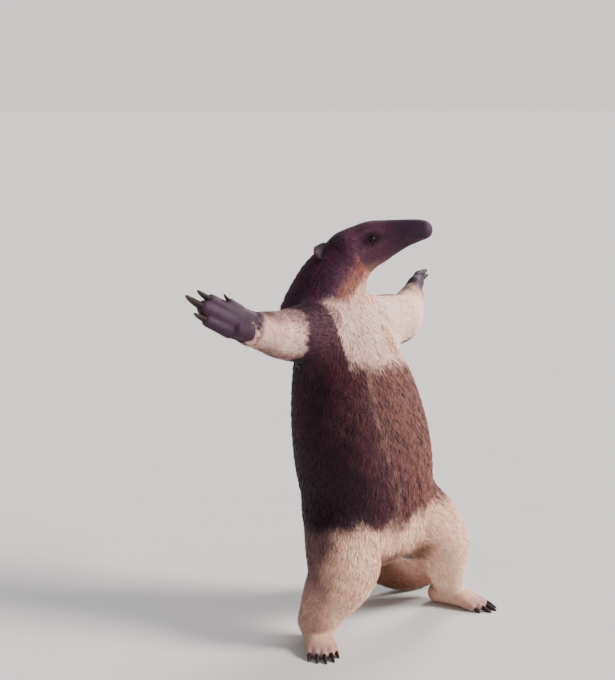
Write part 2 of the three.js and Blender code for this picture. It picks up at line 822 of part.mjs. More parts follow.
function neck() {
  const stops = [CUTS.neck, [V(-19, 80, 519), V(0.25, -0.3, 0.92)], CUTS.head];
  let made = length(trunkField, stops, { sides: 26, step: 10, furthest: 90 });
  for (const mirror of [1, -1]) made = made.subtract(ear(mirror, GAP));
  return largest(made);
}

function tail() {
  const field = fieldOf([torsoTube, tailTube]);
  const points = spline(TAIL, 1).map(([x, y, z]) => V(x, y, z));
  const shared = { sides: 14, step: 13, furthest: 40, rests: true };
  const stop = (i) => [points[i], alongLine(points, i)];
  const [tip, end] = stop(points.length - 1);
  return {
    tail_base: length(field, [CUTS.tail, stop(2), stop(3)], shared),
    tail_middle: length(field, [stop(3), stop(4), stop(5)], shared),
    tail_tip: length(field, [stop(5), stop(6), [tip, end], [tip.clone().addScaledVector(end, 6), end]], {
      ...shared,
      pointed: true,
    }),
  };
}

function limb(side) {
  const cuts = CUTS[side];
  const { shoulder, elbow, wrist, hip, knee, ankle } = cuts;
  const between = (a, b) => [a[0].clone().lerp(b[0], 0.5), b[0].clone().sub(a[0]).normalize()];
  const armField = fieldOf([torsoTube, neckTube, armTube[side]]);
  const lowerArm = fieldOf([torsoTube, armTube[side], ...handTubes[side]]);
  const legField = fieldOf([torsoTube, legTube.right, legTube.left]);
  const arm = { sides: 18, step: 9, furthest: 62 };
  const leg = { sides: 20, step: 10, furthest: 85 };
  return {
    [`upper_arm_${side}`]: length(armField, [shoulder, elbow], arm),
    [`forearm_${side}`]: length(lowerArm, [elbow, between(elbow, wrist), wrist], { ...arm, step: 12 }),
    [`thigh_${side}`]: length(legField, [hip, knee], leg),
    [`shank_${side}`]: length(legField, [knee, between(knee, ankle), ankle], leg),
  };
}

// Colours and the scene
const COLOURS = {
  cream: [0xd9bd8f, 0.9],
  dark: [0x2c2320, 0.9],
  head: [0x4a3a2e, 0.88],
  tail: [0xa98b5c, 0.9],
  claw: [0x8a7d66, 0.45],
  eye: [0x14100e, 0.15],
};
const nodes = [];

function addNode(name, made, colour) {
  const mesh = made.getMesh();
  const geometry = new THREE.BufferGeometry();
  geometry.setAttribute('position', new THREE.BufferAttribute(mesh.vertProperties, 3));
  geometry.setIndex(new THREE.BufferAttribute(mesh.triVerts, 1));
  geometry.computeVertexNormals();
  const [color, roughness] = COLOURS[colour];
  const node = new THREE.Mesh(geometry, new THREE.MeshStandardMaterial({ color, roughness, metalness: 0 }));
  node.name = name;
  nodes.push(node);
}

const { chest, abdomen } = trunk();
addNode('chest', chest, 'dark');
addNode('abdomen', abdomen, 'dark');
addNode('neck', neck(), 'head');
addNode('head', head(), 'head');
for (const [name, made] of Object.entries(tail())) addNode(name, made, 'tail');
for (const side of SIDES) {
  const mirror = side === 'left' ? 1 : -1;
  addNode(`ear_${side}`, ear(mirror), 'head');
  addNode(`eye_${side}`, eyeBall(mirror, EYE_RADIUS), 'eye');
  for (const [name, made] of Object.entries(limb(side))) addNode(name, made, 'cream');
  const parts = { hand: hand(side), foot: foot(side) };
  for (const [part, { body, claws }] of Object.entries(parts)) {
    addNode(`${part}_${side}`, body, part === 'hand' ? 'dark' : 'cream');
    claws.forEach((claw, i) => addNode(`claw_${part}_${side}_${i + 1}`, claw, 'claw'));
  }
}

// The origin is under the middle of the whole animal, at the floor.
const animal = new THREE.Group();
nodes.forEach((node) => animal.add(node));
const bounds = new THREE.Box3().setFromObject(animal);
const centre = bounds.getCenter(V(0, 0, 0));
animal.position.set(-centre.x, -centre.y, 0);
const model = new THREE.Group();
model.add(animal);

export default model;
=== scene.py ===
# A southern tamandua standing upright on its hind legs, arms spread, in fur and skin.
# Metres. The solids come from the frame; this script lays the skin, coat, eyes and claws over them.
import json
import bmesh
import bpy
import numpy as np
from mathutils import Matrix, Vector

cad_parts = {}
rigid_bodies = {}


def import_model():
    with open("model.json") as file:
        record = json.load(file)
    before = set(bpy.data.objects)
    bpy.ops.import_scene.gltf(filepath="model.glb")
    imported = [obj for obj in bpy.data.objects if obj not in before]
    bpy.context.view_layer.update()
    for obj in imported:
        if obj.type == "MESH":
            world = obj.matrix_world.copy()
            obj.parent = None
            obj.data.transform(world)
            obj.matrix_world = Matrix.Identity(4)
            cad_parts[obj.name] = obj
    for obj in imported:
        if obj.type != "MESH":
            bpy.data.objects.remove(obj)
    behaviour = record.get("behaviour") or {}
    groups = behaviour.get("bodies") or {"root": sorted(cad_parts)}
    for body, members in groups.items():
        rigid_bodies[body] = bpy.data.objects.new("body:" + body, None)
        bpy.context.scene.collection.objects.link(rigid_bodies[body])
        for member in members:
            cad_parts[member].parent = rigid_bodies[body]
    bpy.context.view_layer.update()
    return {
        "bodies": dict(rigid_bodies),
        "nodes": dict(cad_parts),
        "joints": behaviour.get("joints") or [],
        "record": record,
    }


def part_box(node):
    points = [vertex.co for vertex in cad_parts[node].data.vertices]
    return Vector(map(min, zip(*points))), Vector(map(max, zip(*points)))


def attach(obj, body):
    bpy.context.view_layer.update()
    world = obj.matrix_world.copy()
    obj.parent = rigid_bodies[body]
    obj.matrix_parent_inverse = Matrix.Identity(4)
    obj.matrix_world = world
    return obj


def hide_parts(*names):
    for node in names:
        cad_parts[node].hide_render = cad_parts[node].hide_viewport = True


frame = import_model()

SEED = 7
random = np.random.default_rng(SEED)


def V(*numbers):
    return np.array(numbers, float)


def unit(v):
    return v / np.linalg.norm(v)


def length(rows):
    """The length of each row."""
    return np.linalg.norm(rows, axis=1)


# The animal's own frame: its belly faces -Y, its left is +X, the floor is z = 0.
LEFT, BACK, UP = V(1, 0, 0), V(0, 1, 0), V(0, 0, 1)

# The middle of the solids stands over the frame's origin, this far from the animal's own.
SHIFT = V(0.0240376, -0.0946499, 0)

# Stations of each tube of the body: x, y, z, half width, half depth, depth of the coat there.
TORSO = [
    [0.000, 0.026, 0.122, 0.054, 0.044, 0.0036],
    [-0.003, 0.021, 0.165, 0.094, 0.075, 0.0044],
    [-0.005, 0.031, 0.235, 0.109, 0.094, 0.0048],
    [-0.011, 0.043, 0.312, 0.105, 0.092, 0.0048],
    [-0.016, 0.060, 0.385, 0.085, 0.080, 0.0046],
    [-0.022, 0.076, 0.440, 0.065, 0.062, 0.0044],
]
NECK = [
    [-0.038, 0.091, 0.464, 0.065, 0.057, 0.0042],
    [-0.027, 0.085, 0.508, 0.052, 0.046, 0.0038],
    [-0.006, 0.071, 0.547, 0.039, 0.037, 0.0030],
]
TAIL = [
    [0.006, 0.064, 0.126, 0.034, 0.032, 0.0040],
    [0.040, 0.087, 0.084, 0.031, 0.030, 0.0036],
    [0.081, 0.091, 0.047, 0.029, 0.027, 0.0032],
    [0.124, 0.085, 0.027, 0.027, 0.0255, 0.0028],
    [0.170, 0.082, 0.023, 0.0225, 0.022, 0.0020],
    [0.217, 0.102, 0.019, 0.019, 0.018, 0.0014],
    [0.248, 0.143, 0.0155, 0.016, 0.015, 0.0009],
    [0.258, 0.201, 0.012, 0.013, 0.012, 0.0006],
    [0.248, 0.261, 0.0095, 0.0105, 0.010, 0.0005],
]
JOINTS = {
    "right": {
        "shoulder": V(-0.066, 0.058, 0.440),
        "elbow": V(-0.141, 0.059, 0.446),
        "wrist": V(-0.212, 0.036, 0.464),
        "hip": V(-0.054, 0.022, 0.172),
        "knee": V(-0.095, -0.027, 0.108),
        "ankle": V(-0.128, -0.008, 0.034),
        "fingers": V(-0.83, 0.20, 0.45),
        "palm": V(-0.20, -0.85, 0.20),
        "toes": V(-0.48, -0.88, 0),
        "calf": 1.10,
    },
    "left": {
        "shoulder": V(0.034, 0.066, 0.442),
        "elbow": V(0.101, 0.070, 0.447),
        "wrist": V(0.155, 0.110, 0.467),
        "hip": V(0.053, 0.020, 0.172),
        "knee": V(0.103, -0.022, 0.116),
        "ankle": V(0.140, 0.000, 0.034),
        "fingers": V(0.64, 0.66, 0.30),
        "palm": V(0.35, -0.75, -0.30),
        "toes": V(0.42, -0.90, 0),
        "calf": 0.92,
    },
}
SIDES = ("right", "left")

# Along a limb, 0 is its first joint, 1 the elbow or knee, 2 the wrist or ankle.
ARM = [
    [0.1, 0.046, 0.040, 0.0040],
    [0.6, 0.042, 0.036, 0.0038],
    [1.0, 0.036, 0.031, 0.0035],
    [1.5, 0.030, 0.027, 0.0030],
    [2.0, 0.024, 0.020, 0.0014],
]
LEG = [
    [0.0, 0.060, 0.062, 0.0044],
    [0.5, 0.057, 0.058, 0.0042],
    [1.0, 0.049, 0.046, 0.0038],
    [1.5, 0.038, 0.036, 0.0034],
    [2.0, 0.028, 0.025, 0.0022],
]

# In the head's frame: forward from behind the skull, its left, up.
SKULL, SNOUT, SKULL_BACK = V(0.002, 0.066, 0.557), V(0.068, -0.034, 0.594), 0.026
HEAD = [
    [0.006, 0, -0.005, 0.026, 0.027, 0.0030],
    [0.028, 0, 0, 0.031, 0.034, 0.0026],
    [0.054, 0, 0.0034, 0.028, 0.0344, 0.0020],
    [0.080, 0, 0.0046, 0.022, 0.0276, 0.0014],
    [0.104, 0, 0.0048, 0.0175, 0.0213, 0.0009],
    [0.126, 0, 0.0032, 0.014, 0.017, 0.0006],
    [0.137, 0, 0.0015, 0.012, 0.014, 0.0004],
]

# In the hand's frame: along the fingers, to the thumb, to the back of the hand.
PALM = [
    [-0.004, 0, 0, 0.022, 0.018, 0.0012],
    [0.014, 0, -0.001, 0.024, 0.017, 0.0010],
    [0.034, 0, -0.001, 0.026, 0.014, 0.0008],
    [0.044, 0, -0.003, 0.022, 0.011, 0.0006],
]
WRIST_PAD = [
    [0.006, -0.007, -0.013, 0.012, 0.009, 0.0004],
    [0.020, -0.012, -0.013, 0.010, 0.007, 0.0004],
]
# Each digit: root, tip, the two radii, and the length of its claw beyond the tip.
FINGERS = [
    (V(0.028, 0.016, -0.003), V(0.045, 0.020, -0.007), (0.0085, 0.0055), 0.014),
    (V(0.032, 0.009, -0.002), V(0.072, 0.010, -0.008), (0.011, 0.009), 0.024),
    (V(0.032, -0.004, -0.002), V(0.078, -0.004, -0.009), (0.013, 0.011), 0.032),
    (V(0.030, -0.016, -0.003), V(0.066, -0.018, -0.008), (0.011, 0.009), 0.022),
]
# In the foot's frame: along the toes, to the inner side, up.
SOLE = [
    [-0.017, 0, -0.0195, 0.017, 0.016, 0.0016],
    [0.008, 0, -0.0185, 0.020, 0.017, 0.0018],
    [0.034, 0, -0.0235, 0.023, 0.012, 0.0012],
    [0.044, 0, -0.0255, 0.021, 0.010, 0.0008],
]
TOES = [
    (V(0.036, 0.015, -0.026), V(0.048, 0.018, -0.0285), (0.0075, 0.0060), 0.010),
    (V(0.040, 0.0085, -0.026), V(0.056, 0.010, -0.028), (0.0080, 0.0065), 0.016),
    (V(0.040, 0.000, -0.026), V(0.059, 0.000, -0.028), (0.0080, 0.0065), 0.017),
    (V(0.040, -0.0085, -0.026), V(0.056, -0.010, -0.028), (0.0080, 0.0065), 0.016),
    (V(0.036, -0.016, -0.026), V(0.050, -0.019, -0.0285), (0.0075, 0.0060), 0.014),
]


class Frame:
    """A place with three axes at right angles: forward, to one side and up."""

    def __init__(self, origin, forward, towards, flip=False):
        f = unit(forward)
        u = unit(towards - (towards @ f) * f)
        s = np.cross(u, f)
        self.origin = origin
        self.axes = np.stack([f, -s if flip else s, u])

    def out(self, local):
        return self.origin + np.asarray(local, float) @ self.axes

    def into(self, points):
        return (points - self.origin) @ self.axes.T


TO_SNOUT = unit(SNOUT - SKULL)
HEAD_FRAME = Frame(SKULL - TO_SNOUT * SKULL_BACK, TO_SNOUT, UP)
HAND_FRAME = {s: Frame(j["wrist"], j["fingers"], -j["palm"], s == "left") for s, j in JOINTS.items()}
FOOT_FRAME = {s: Frame(j["ankle"], j["toes"], UP, s == "left") for s, j in JOINTS.items()}


def spline(stations, per_span):
    """A smooth curve through rows of numbers."""
    s = np.array(stations, float)
    s = np.vstack([2 * s[0] - s[1], s, 2 * s[-1] - s[-2]])
    rows = []
    for a, b, c, d in zip(s[:-3], s[1:-2], s[2:-1], s[3:]):
        for t in np.arange(per_span) / per_span:
            square = (2 * a - 5 * b + 4 * c - d) * t ** 2
            rows.append(0.5 * (2 * b + (c - a) * t + square + (3 * b - 3 * c + d - a) * t ** 3))
    rows.append(s[-2])
    return np.array(rows)


def limb(first, middle, last, profile, stout=1.0):
    """Stations of a limb from its three joints."""
    rows = []
    for t, width, depth, coat in profile:
        p = first + (middle - first) * t if t <= 1 else middle + (last - middle) * (t - 1)
        size = 1 if t < 1 else stout
        rows.append([*p, width * size, depth * size, coat])
    return spline(rows, 5)


def placed(frame, rows):
    """Local rows brought into the animal's frame."""
    rows = np.asarray(rows, float)
    return np.hstack([frame.out(rows[:, :3]), rows[:, 3:]])


# A tube counts for the field this far beyond its sides and its blend.
TUBE_REACH = 0.03


class Tube:
    """A tapered tube through stations, its sides shrunk by the depth of the coat."""

    def __init__(self, name, rows, side, soft):
        self.name, self.side, self.soft = name, side, soft
        self.rows = np.array(rows, float)
        lengths = length(np.diff(self.rows[:, :3], axis=0))
        self.along = np.concatenate([[0], np.cumsum(lengths)])
        widest = self.rows[:, 3:5].max() + soft + TUBE_REACH
        self.low = self.rows[:, :3].min(0) - widest
        self.high = self.rows[:, :3].max(0) + widest

    def near(self, p):
        return ((p > self.low) & (p < self.high)).all(1)

    def measure(self, p, full=False):
        """Distance of each point; with full, also its place along, its angle round, the lie and the coat."""
        best = np.full(len(p), 1e9)
        place, angle, coat = np.zeros(len(p)), np.zeros(len(p)), np.zeros(len(p))
        lie = np.zeros((len(p), 3))
        for i, (a, b) in enumerate(zip(self.rows[:-1], self.rows[1:])):
            step = b[:3] - a[:3]
            span = np.linalg.norm(step)
            axis = step / span
            side = unit(self.side - (self.side @ axis) * axis)
            other = np.cross(axis, side)
            q = p - a[:3]
            z = q @ axis
            t = np.clip(z / span, 0, 1)
            width = (a[3] - a[5]) + (b[3] - b[5] - a[3] + a[5]) * t
            depth = (a[4] - a[5]) + (b[4] - b[5] - a[4] + a[5]) * t
            end = np.minimum(width, depth)
            x, y, z = q @ side, q @ other, z - t * span
            k = np.sqrt((x / width) ** 2 + (y / depth) ** 2 + (z / end) ** 2)
            slope = np.sqrt((x / width ** 2) ** 2 + (y / depth ** 2) ** 2 + (z / end ** 2) ** 2) + 1e-9
            d = np.where(k < 1e-3, -end, k * (k - 1) / slope)
            m = d < best
            best[m] = d[m]
            if full:
                place[m] = self.along[i] + t[m] * span
                angle[m] = np.arctan2(y[m] / depth[m], x[m] / width[m])
                coat[m] = a[5] + (b[5] - a[5]) * t[m]
                lie[m] = axis
        return (best, place, angle, lie, coat) if full else best


def soft_min(a, b, k):
    h = np.clip(0.5 + 0.5 * (b - a) / k, 0, 1)
    return b + (a - b) * h - k * h * (1 - h)


def make_tubes():
    tubes = [
        Tube("torso", spline(TORSO, 6)[::-1], LEFT, 0.001),
        Tube("neck", spline(NECK, 6)[::-1], V(0.6, -0.3, 0.3), 0.030),
        Tube("head", placed(HEAD_FRAME, spline(HEAD, 7))[::-1], HEAD_FRAME.axes[1], 0.016),
        Tube("tail", spline(TAIL, 5), LEFT, 0.016),
    ]
    for side in SIDES:
        j = JOINTS[side]
        tubes.append(Tube("arm_" + side, limb(j["shoulder"], j["elbow"], j["wrist"], ARM), UP, 0.024))
        tubes.append(Tube("leg_" + side, limb(j["hip"], j["knee"], j["ankle"], LEG, j["calf"]), BACK, 0.018))
        hand, foot = HAND_FRAME[side], FOOT_FRAME[side]
        tubes.append(Tube("palm_" + side, placed(hand, spline(PALM, 3)), hand.axes[1], 0.008))
        tubes.append(Tube("pad_" + side, placed(hand, WRIST_PAD), hand.axes[1], 0.005))
        tubes.append(Tube("sole_" + side, placed(foot, spline(SOLE, 3)), foot.axes[1], 0.009))
        for kind, at, digits in (("finger", hand, FINGERS), ("toe", foot, TOES)):
            for root, tip, (thick, thin), _ in digits:
                ends = [[*root, thick, thick, 0.0004], [*tip, thin, thin, 0.0003]]
                tubes.append(Tube(kind + "_" + side, placed(at, ends), at.axes[1], 0.003))
    return tubes


TUBES = make_tubes()


def body(p):
    """The skin as a field: negative inside, about the distance near the surface."""
    d = np.full(len(p), 1.0)
    for tube in TUBES:
        m = tube.near(p)
        if m.any():
            d[m] = soft_min(d[m], tube.measure(p[m]), tube.soft)
    return d


def slope_of(field, p, h=0.0006):
    """The outward slope of a field at each point."""
    out = np.zeros_like(p)
    for axis in range(3):
        step = np.zeros(3)
        step[axis] = h
        out[:, axis] = (field(p + step) - field(p - step)) / (2 * h)
    return out


# A block counts as near the surface within this many blocks, and so many points are measured at once.
NEAR_BLOCKS, MOST_AT_ONCE = 1.9, 300000


def sample(field, low, high, cell, block=4):
    """The field on a grid, worked out only in the blocks near the surface."""
    count = np.ceil((high - low) / cell).astype(int) + 1
    blocks = np.ceil(count / block).astype(int) + 1
    grid = np.stack(np.meshgrid(*[np.arange(n) for n in blocks], indexing="ij"), -1).reshape(-1, 3)
    coarse = field(low + (grid + 0.5) * cell * block).reshape(blocks)
    values = np.sign(coarse)
    for axis in range(3):
        values = np.repeat(values, block, axis)
    near = np.argwhere(np.abs(coarse) < cell * block * NEAR_BLOCKS)
    inner = np.stack(np.meshgrid(*[np.arange(block)] * 3, indexing="ij"), -1).reshape(-1, 3)
    index = (near[:, None] * block + inner[None]).reshape(-1, 3)
    for chunk in np.array_split(index, max(1, len(index) // MOST_AT_ONCE)):
        values[tuple(chunk.T)] = field(low + chunk * cell)
    return values


def surface_net(values, low, cell):
    """One point in each cell that the surface crosses and one quad across each crossed edge."""
    inside = values < 0
    size = np.array(values.shape) - 1
    corners = [(i, j, k) for i in (0, 1) for j in (0, 1) for k in (0, 1)]
    count = sum(
        inside[i:i + size[0], j:j + size[1], k:k + size[2]].astype(np.int8) for i, j, k in corners
    )
    cells = np.argwhere((count > 0) & (count < len(corners)))
    ids = np.full(size, -1)
    ids[tuple(cells.T)] = np.arange(len(cells))
    total, crossings = np.zeros((len(cells), 3)), np.zeros(len(cells))
    for start in corners:
        for axis in range(3):
            if start[axis]:
                continue
            end = list(start)
            end[axis] = 1
            a, b = values[tuple((cells + start).T)], values[tuple((cells + end).T)]
            m = (a < 0) != (b < 0)
            point = np.tile(np.array(start, float), (m.sum(), 1))
            point[:, axis] += a[m] / (a[m] - b[m])
            total[m] += point
            crossings[m] += 1
    points = low + (cells + total / crossings[:, None]) * cell
    quads = []
    for axis in range(3):
        u, v = (axis + 1) % 3, (axis + 2) % 3
        first = [slice(1, n) for n in size]
        first[axis] = slice(0, size[axis])
        second = list(first)
        second[axis] = slice(1, size[axis] + 1)
        a, b = inside[tuple(first)], inside[tuple(second)]
        crossed = np.argwhere(a != b)
        out = a[tuple(crossed.T)]
        base = crossed + np.array([i != axis for i in range(3)])
        sides = []
        for du, dv in ((1, 1), (0, 1), (0, 0), (1, 0)):
            at = base.copy()
            at[:, u] -= du
            at[:, v] -= dv
            sides.append(ids[tuple(at.T)])
        quad = np.stack(sides, 1)
        quad[~out] = quad[~out][:, ::-1]
        quads.append(quad)
    return points, np.vstack(quads)


# Points where the field is flatter than this stay where they are.
FLATTEST = 0.05


def settle(field, p, furthest, rounds=3):
    """Points moved onto the surface, no further than given."""
    start = p.copy()
    for _ in range(rounds):
        value, slope = field(p), slope_of(field, p)
        square = (slope ** 2).sum(1)
        ok = square > FLATTEST
        p[ok] -= slope[ok] * (value[ok] / square[ok])[:, None]
    step = p - start
    far = length(step)
    return start + step * np.minimum(1, furthest / np.maximum(far, 1e-9))[:, None]


def rise(x, low, high):
    """0 below low, 1 above high, smooth between."""
    t = np.clip((x - low) / (high - low), 0, 1)
    return t * t * (3 - 2 * t)


def colour(red, green, blue):
    """A linear colour from its usual 0 to 255 numbers."""
    c = np.array([red, green, blue]) / 255
    return np.where(c <= 0.04045, c / 12.92, ((c + 0.055) / 1.055) ** 2.4)


VEST = colour(46, 18, 34)
# Painted light: the vest where the light half reaches it, then its brown grizzle where the light falls full
VEST_HALF_LIT = colour(96, 54, 60)
VEST_LIT_BROWN = colour(126, 78, 68)
STRAP = colour(84, 46, 64)
CREAM = colour(253, 202, 178)
PALE = colour(255, 209, 196)
BUFF = colour(214, 166, 134)
# The throat's own rust and cream, painted brighter towards its front and left, where the light falls
RUST_HALF_LIT = colour(164, 104, 90)
THROAT_EDGE = colour(238, 194, 166)
# Crown and nape: the animal's own browns, painted darker for the shade on the head and neck
CROWN = colour(100, 60, 80)
MUZZLE = colour(60, 34, 56)
NAPE = colour(70, 34, 58)
HAND_SKIN = colour(60, 32, 56)
FOOT_SKIN = colour(150, 116, 114)
TAIL_FUR = colour(126, 82, 66)
# Painted shade for the outer side of the right leg
PAINTED_LEG_SHADE = colour(112, 76, 84)
TAIL_SKIN = colour(150, 112, 92)
TAIL_BLOTCH = colour(80, 56, 50)

# Where the colours change: heights, and places in the animal's frame or the head's
CHEST = (0.36, 0.42)
VEST_LOW, VEST_HIGH = 0.158, 0.400
SLEEVE = (0.048, 0.064)
WEDGE_FOOT, WEDGE_TOP, WEDGE_HALF = 0.33, 0.47, 0.62
# Painted shade between the legs: its top, its middle across and its half width
GROIN_TOP, GROIN_MIDDLE, GROIN_HALF = 0.142, 0.012, 0.064
# Painted shade in the crease under the left arm: its place and size
ARMPIT_SHADE, ARMPIT_SHADE_SIZE = V(0.018, 0.010, 0.434), V(0.015, 0.030, 0.024)
NECK_FOOT, THROAT_WAY, THROAT_REACH = 0.477, V(0.45, -0.89), 0.05
EYE_PATCH, EYE_PATCH_SIZE = V(0.066, 0.0095), V(0.011, 0.008)
RIPPLE_WAVES, RIPPLE_GAIN = 6, 1.6


def ripple(p, size, seed):
    """A smooth pattern from about -1 to 1 over points, from a few crossed waves."""
    r = np.random.default_rng(seed)
    total = np.zeros(len(p))
    for _ in range(RIPPLE_WAVES):
        way = unit(r.normal(size=3))
        total += np.sin(p @ way * 2 * np.pi / (size * r.uniform(0.7, 1.5)) + r.uniform(0, 6.3))
    return total / RIPPLE_WAVES * RIPPLE_GAIN


def mix(a, b, t):
    """Between one colour or many and another, by the share t at each point."""
    return a + (b - a) * t[:, None]


def is_limb(kind, part):
    return np.isin(kind, [code[f"{part}_{side}"] for side in SIDES])


def mark_limbs(out, p, kind, wave, ragged):
    """Painted shade: buff on the backs of the limbs, darker on the right leg's outer side and along the right
    arm's top and bottom, brown between the legs, buff under the left arm.
    """
    x, y, z = p.T
    leg = is_limb(kind, "leg")
    # Painted shade: buff on the backs of the legs, away from the light
    out = mix(out, BUFF, 0.55 * leg * rise(y, 0.0, 0.07))
    out = mix(out, BUFF, 0.35 * leg * rise(z, 0.02, 0.14) * rise(ripple(p, 0.06, 3), -0.6, 0.8))
    # Painted shade: the right leg's outer side darkened, away from the light
    painted_shade_side = rise(-x + 0.55 * y + wave * 1.5, 0.092, 0.126) * (kind == code["leg_right"])
    out = mix(out, PAINTED_LEG_SHADE, (0.5 + 0.4 * rise(z, 0.06, 0.12)) * painted_shade_side)
    # Painted shade: buff on the backs of the arms, darkening their edges
    out = mix(out, BUFF, 0.7 * is_limb(kind, "arm") * rise(y + wave, 0.060, 0.095))

    # Painted shadow along the top of the right arm, where the neck's shadow falls, and painted shade along
    # its bottom
    forearm = unit(JOINTS["right"]["wrist"] - JOINTS["right"]["elbow"])
    off = p - JOINTS["right"]["elbow"]
    off = off - (off @ forearm)[:, None] * forearm
    lean = 0.25 * off[:, 1] + ragged * 0.5
    edge = np.maximum(rise(lean + off[:, 2], 0.002, 0.020), 0.8 * rise(lean - off[:, 2], 0.014, 0.030))
    out = mix(out, STRAP, 0.62 * edge * (kind == code["arm_right"]))

    # Painted shade: tail brown between the legs, under the belly
    groin_shade = ((kind == code["torso"]) | leg) * rise(GROIN_TOP - z + ragged, 0.0, 0.024)
    groin_shade = groin_shade * rise(GROIN_HALF - np.abs(x - GROIN_MIDDLE), 0.0, 0.03)
    out = mix(out, TAIL_FUR, 0.95 * groin_shade * rise(y, -0.085, -0.035))
    # Painted shade: buff in the crease under the left arm
    pit_shade = length((p - ARMPIT_SHADE) / ARMPIT_SHADE_SIZE)
    return mix(out, BUFF, 0.9 * rise(1.3 - pit_shade + ragged * 20, 0.0, 0.9))


def mark_vest(out, p, kind, front, left, wave, ragged):
    """The dark vest: straps over the shoulders, a pale wedge on the back, a faint streak on the belly, and
    painted light that turns it browner towards the animal's left and higher up.
    """
    z = p[:, 2]
    low = VEST_LOW + 0.014 * rise(front, 0.2, 1.0) - 0.030 * rise(-front, 0.3, 0.9)
    low = low + 0.022 * rise(left, 0.1, 0.8) * rise(front, 0.0, 0.5)
    strap = rise(-left, 0.52, 0.80) + rise(left, 0.80, 1.0) * rise(0.35 - front, 0.0, 0.2)
    high = VEST_HIGH + 0.10 * np.clip(strap + rise(-front, 0.1, 0.4), 0, 1)
    vest = rise(z + ragged, low - 0.018, low + 0.014) * rise(high - z + ragged, -0.010, 0.012)
    reach = [(p - j["shoulder"]) @ unit(j["wrist"] - j["shoulder"]) for j in JOINTS.values()]
    vest *= 1 - is_limb(kind, "arm") * rise(np.maximum(*reach) + ragged, *SLEEVE)
    vest *= 1 - (kind == code["arm_left"]) * rise(front, 0.2, 0.4)
    vest *= 1 - is_limb(kind, "leg") * rise(0.17 - z + ragged, -0.006, 0.022)
    wedge_half = np.interp(z, [WEDGE_FOOT, WEDGE_TOP], [0.0, WEDGE_HALF])
    vest *= 1 - rise(-front, 0.2, 0.5) * rise(wedge_half - np.abs(left) + ragged * 12, 0.0, 0.12)

    # Near black on the animal's right; painted light turns it browner towards its left and higher up, over
    # the flecks of its own grizzled tips
    shown = mix(VEST, STRAP, 0.8 * rise(z, *CHEST) * rise(front, 0.3, 0.8))
    lit_share = left + 0.10 * ripple(p * [1, 1, 0.4], 0.03, 4) + 0.42 * rise(z, 0.20, 0.38)
    fleck = rise(ripple(p * [1, 1, 0.35], 0.008, 13), -1.6, 0.6) * rise(front + wave * 12, -0.35, 0.7)
    shown = mix(shown, VEST_HALF_LIT, rise(lit_share, -0.75, -0.05) * fleck)
    shown = mix(shown, VEST_LIT_BROWN, rise(lit_share, -0.25, 0.55) * fleck)
    out = mix(out, shown, vest)

    off = np.abs(left + 0.12 + 0.18 * rise(z, 0.18, 0.36)) + 0.05 * ripple(p * [1, 1, 0.3], 0.006, 15)
    broken = rise(ripple(p * [1, 1, 0.4], 0.010, 14), -0.9, 0.7)
    streak = rise(0.12 - off, 0.0, 0.16) * rise(front, 0.3, 0.8) * rise(z, 0.10, 0.14) * vest
    return mix(out, THROAT_EDGE, (0.18 + 0.14 * rise(z, 0.24, 0.38)) * streak * broken)


def mark_neck(out, p, kind, wave):
    """Dark nape and brown sides, their own colours painted darker for the shade; then rust and cream at the
    throat, its own colours painted brighter towards its front and left, where the light falls.
    """
    rows, z = np.array(NECK), p[:, 2]
    middle = np.stack([np.interp(z, rows[:, 2], rows[:, i]) for i in (0, 1)], 1)
    throat = (p[:, :2] - middle) @ THROAT_WAY / THROAT_REACH
    shown = mix(NAPE, CROWN, rise(throat + wave * 9, 0.10, 0.5) * 0.7)
    shown = mix(shown, RUST_HALF_LIT, rise(throat + wave * 9, 0.42, 0.76))
    shown = mix(shown, THROAT_EDGE, rise(throat + wave * 5, 0.78, 0.98))
    foot = NECK_FOOT + 0.012 * rise(throat, -0.2, 0.8)
    return mix(out, shown, rise(z + wave, foot - 0.014, foot + 0.014) * ~is_limb(kind, "arm"))


def mark_head(out, p, kind, wave):
    """Brown crown and cheeks, their own colour painted darker for the shade on the head; darker muzzle and
    eye patch.
    """
    head = (kind == code["head"]).astype(float)
    local = HEAD_FRAME.into(p)
    f, u = local[:, 0], local[:, 2]
    shown = mix(CROWN, MUZZLE, rise(f, 0.060, 0.120))
    shown = mix(shown, NAPE, rise(0.030 - f, 0.0, 0.03))
    shown = mix(shown, BUFF, 0.30 * rise(-u, 0.016, 0.030) * rise(0.09 - f, 0, 0.04))
    out = mix(out, shown, head * rise(f + wave, 0.004, 0.030))
    off_eye = length((local[:, [0, 2]] - EYE_PATCH) / EYE_PATCH_SIZE)
    return mix(out, MUZZLE * 0.5, 0.9 * head * rise(1.5 - off_eye, 0.0, 0.8))


def mark_ends(out, p, kind, ragged):
    """Bare hands and feet, and a tail furred at its root, then nearly bare and blotched."""
    bare_hand, bare_foot = np.zeros(len(p)), np.zeros(len(p))
    for side in SIDES:
        hand, foot = HAND_FRAME[side].into(p), FOOT_FRAME[side].into(p)
        near_hand = length(hand) < 0.13
        bare_hand += near_hand * rise(hand[:, 0] + ragged * 2.2, -0.030, 0.010)
        near_foot = (length(foot) < 0.10) & (p[:, 2] < 0.05)
        bare_foot += near_foot * rise(foot[:, 0] - foot[:, 2], 0.045, 0.075)
    out = mix(out, HAND_SKIN, np.clip(bare_hand, 0, 1))
    out = mix(out, FOOT_SKIN, 0.75 * np.clip(bare_foot, 0, 1))
    bare_tail = rise(p[:, 1], 0.13, 0.20)
    blotch = rise(ripple(p, 0.022, 5) + 0.5 * ripple(p, 0.010, 6), 0.1, 0.5) * bare_tail
    shown = mix(TAIL_FUR, TAIL_SKIN, bare_tail)
    shown = mix(shown, TAIL_BLOTCH, 0.85 * blotch)
    return mix(out, shown, (kind == code["tail"]).astype(float))


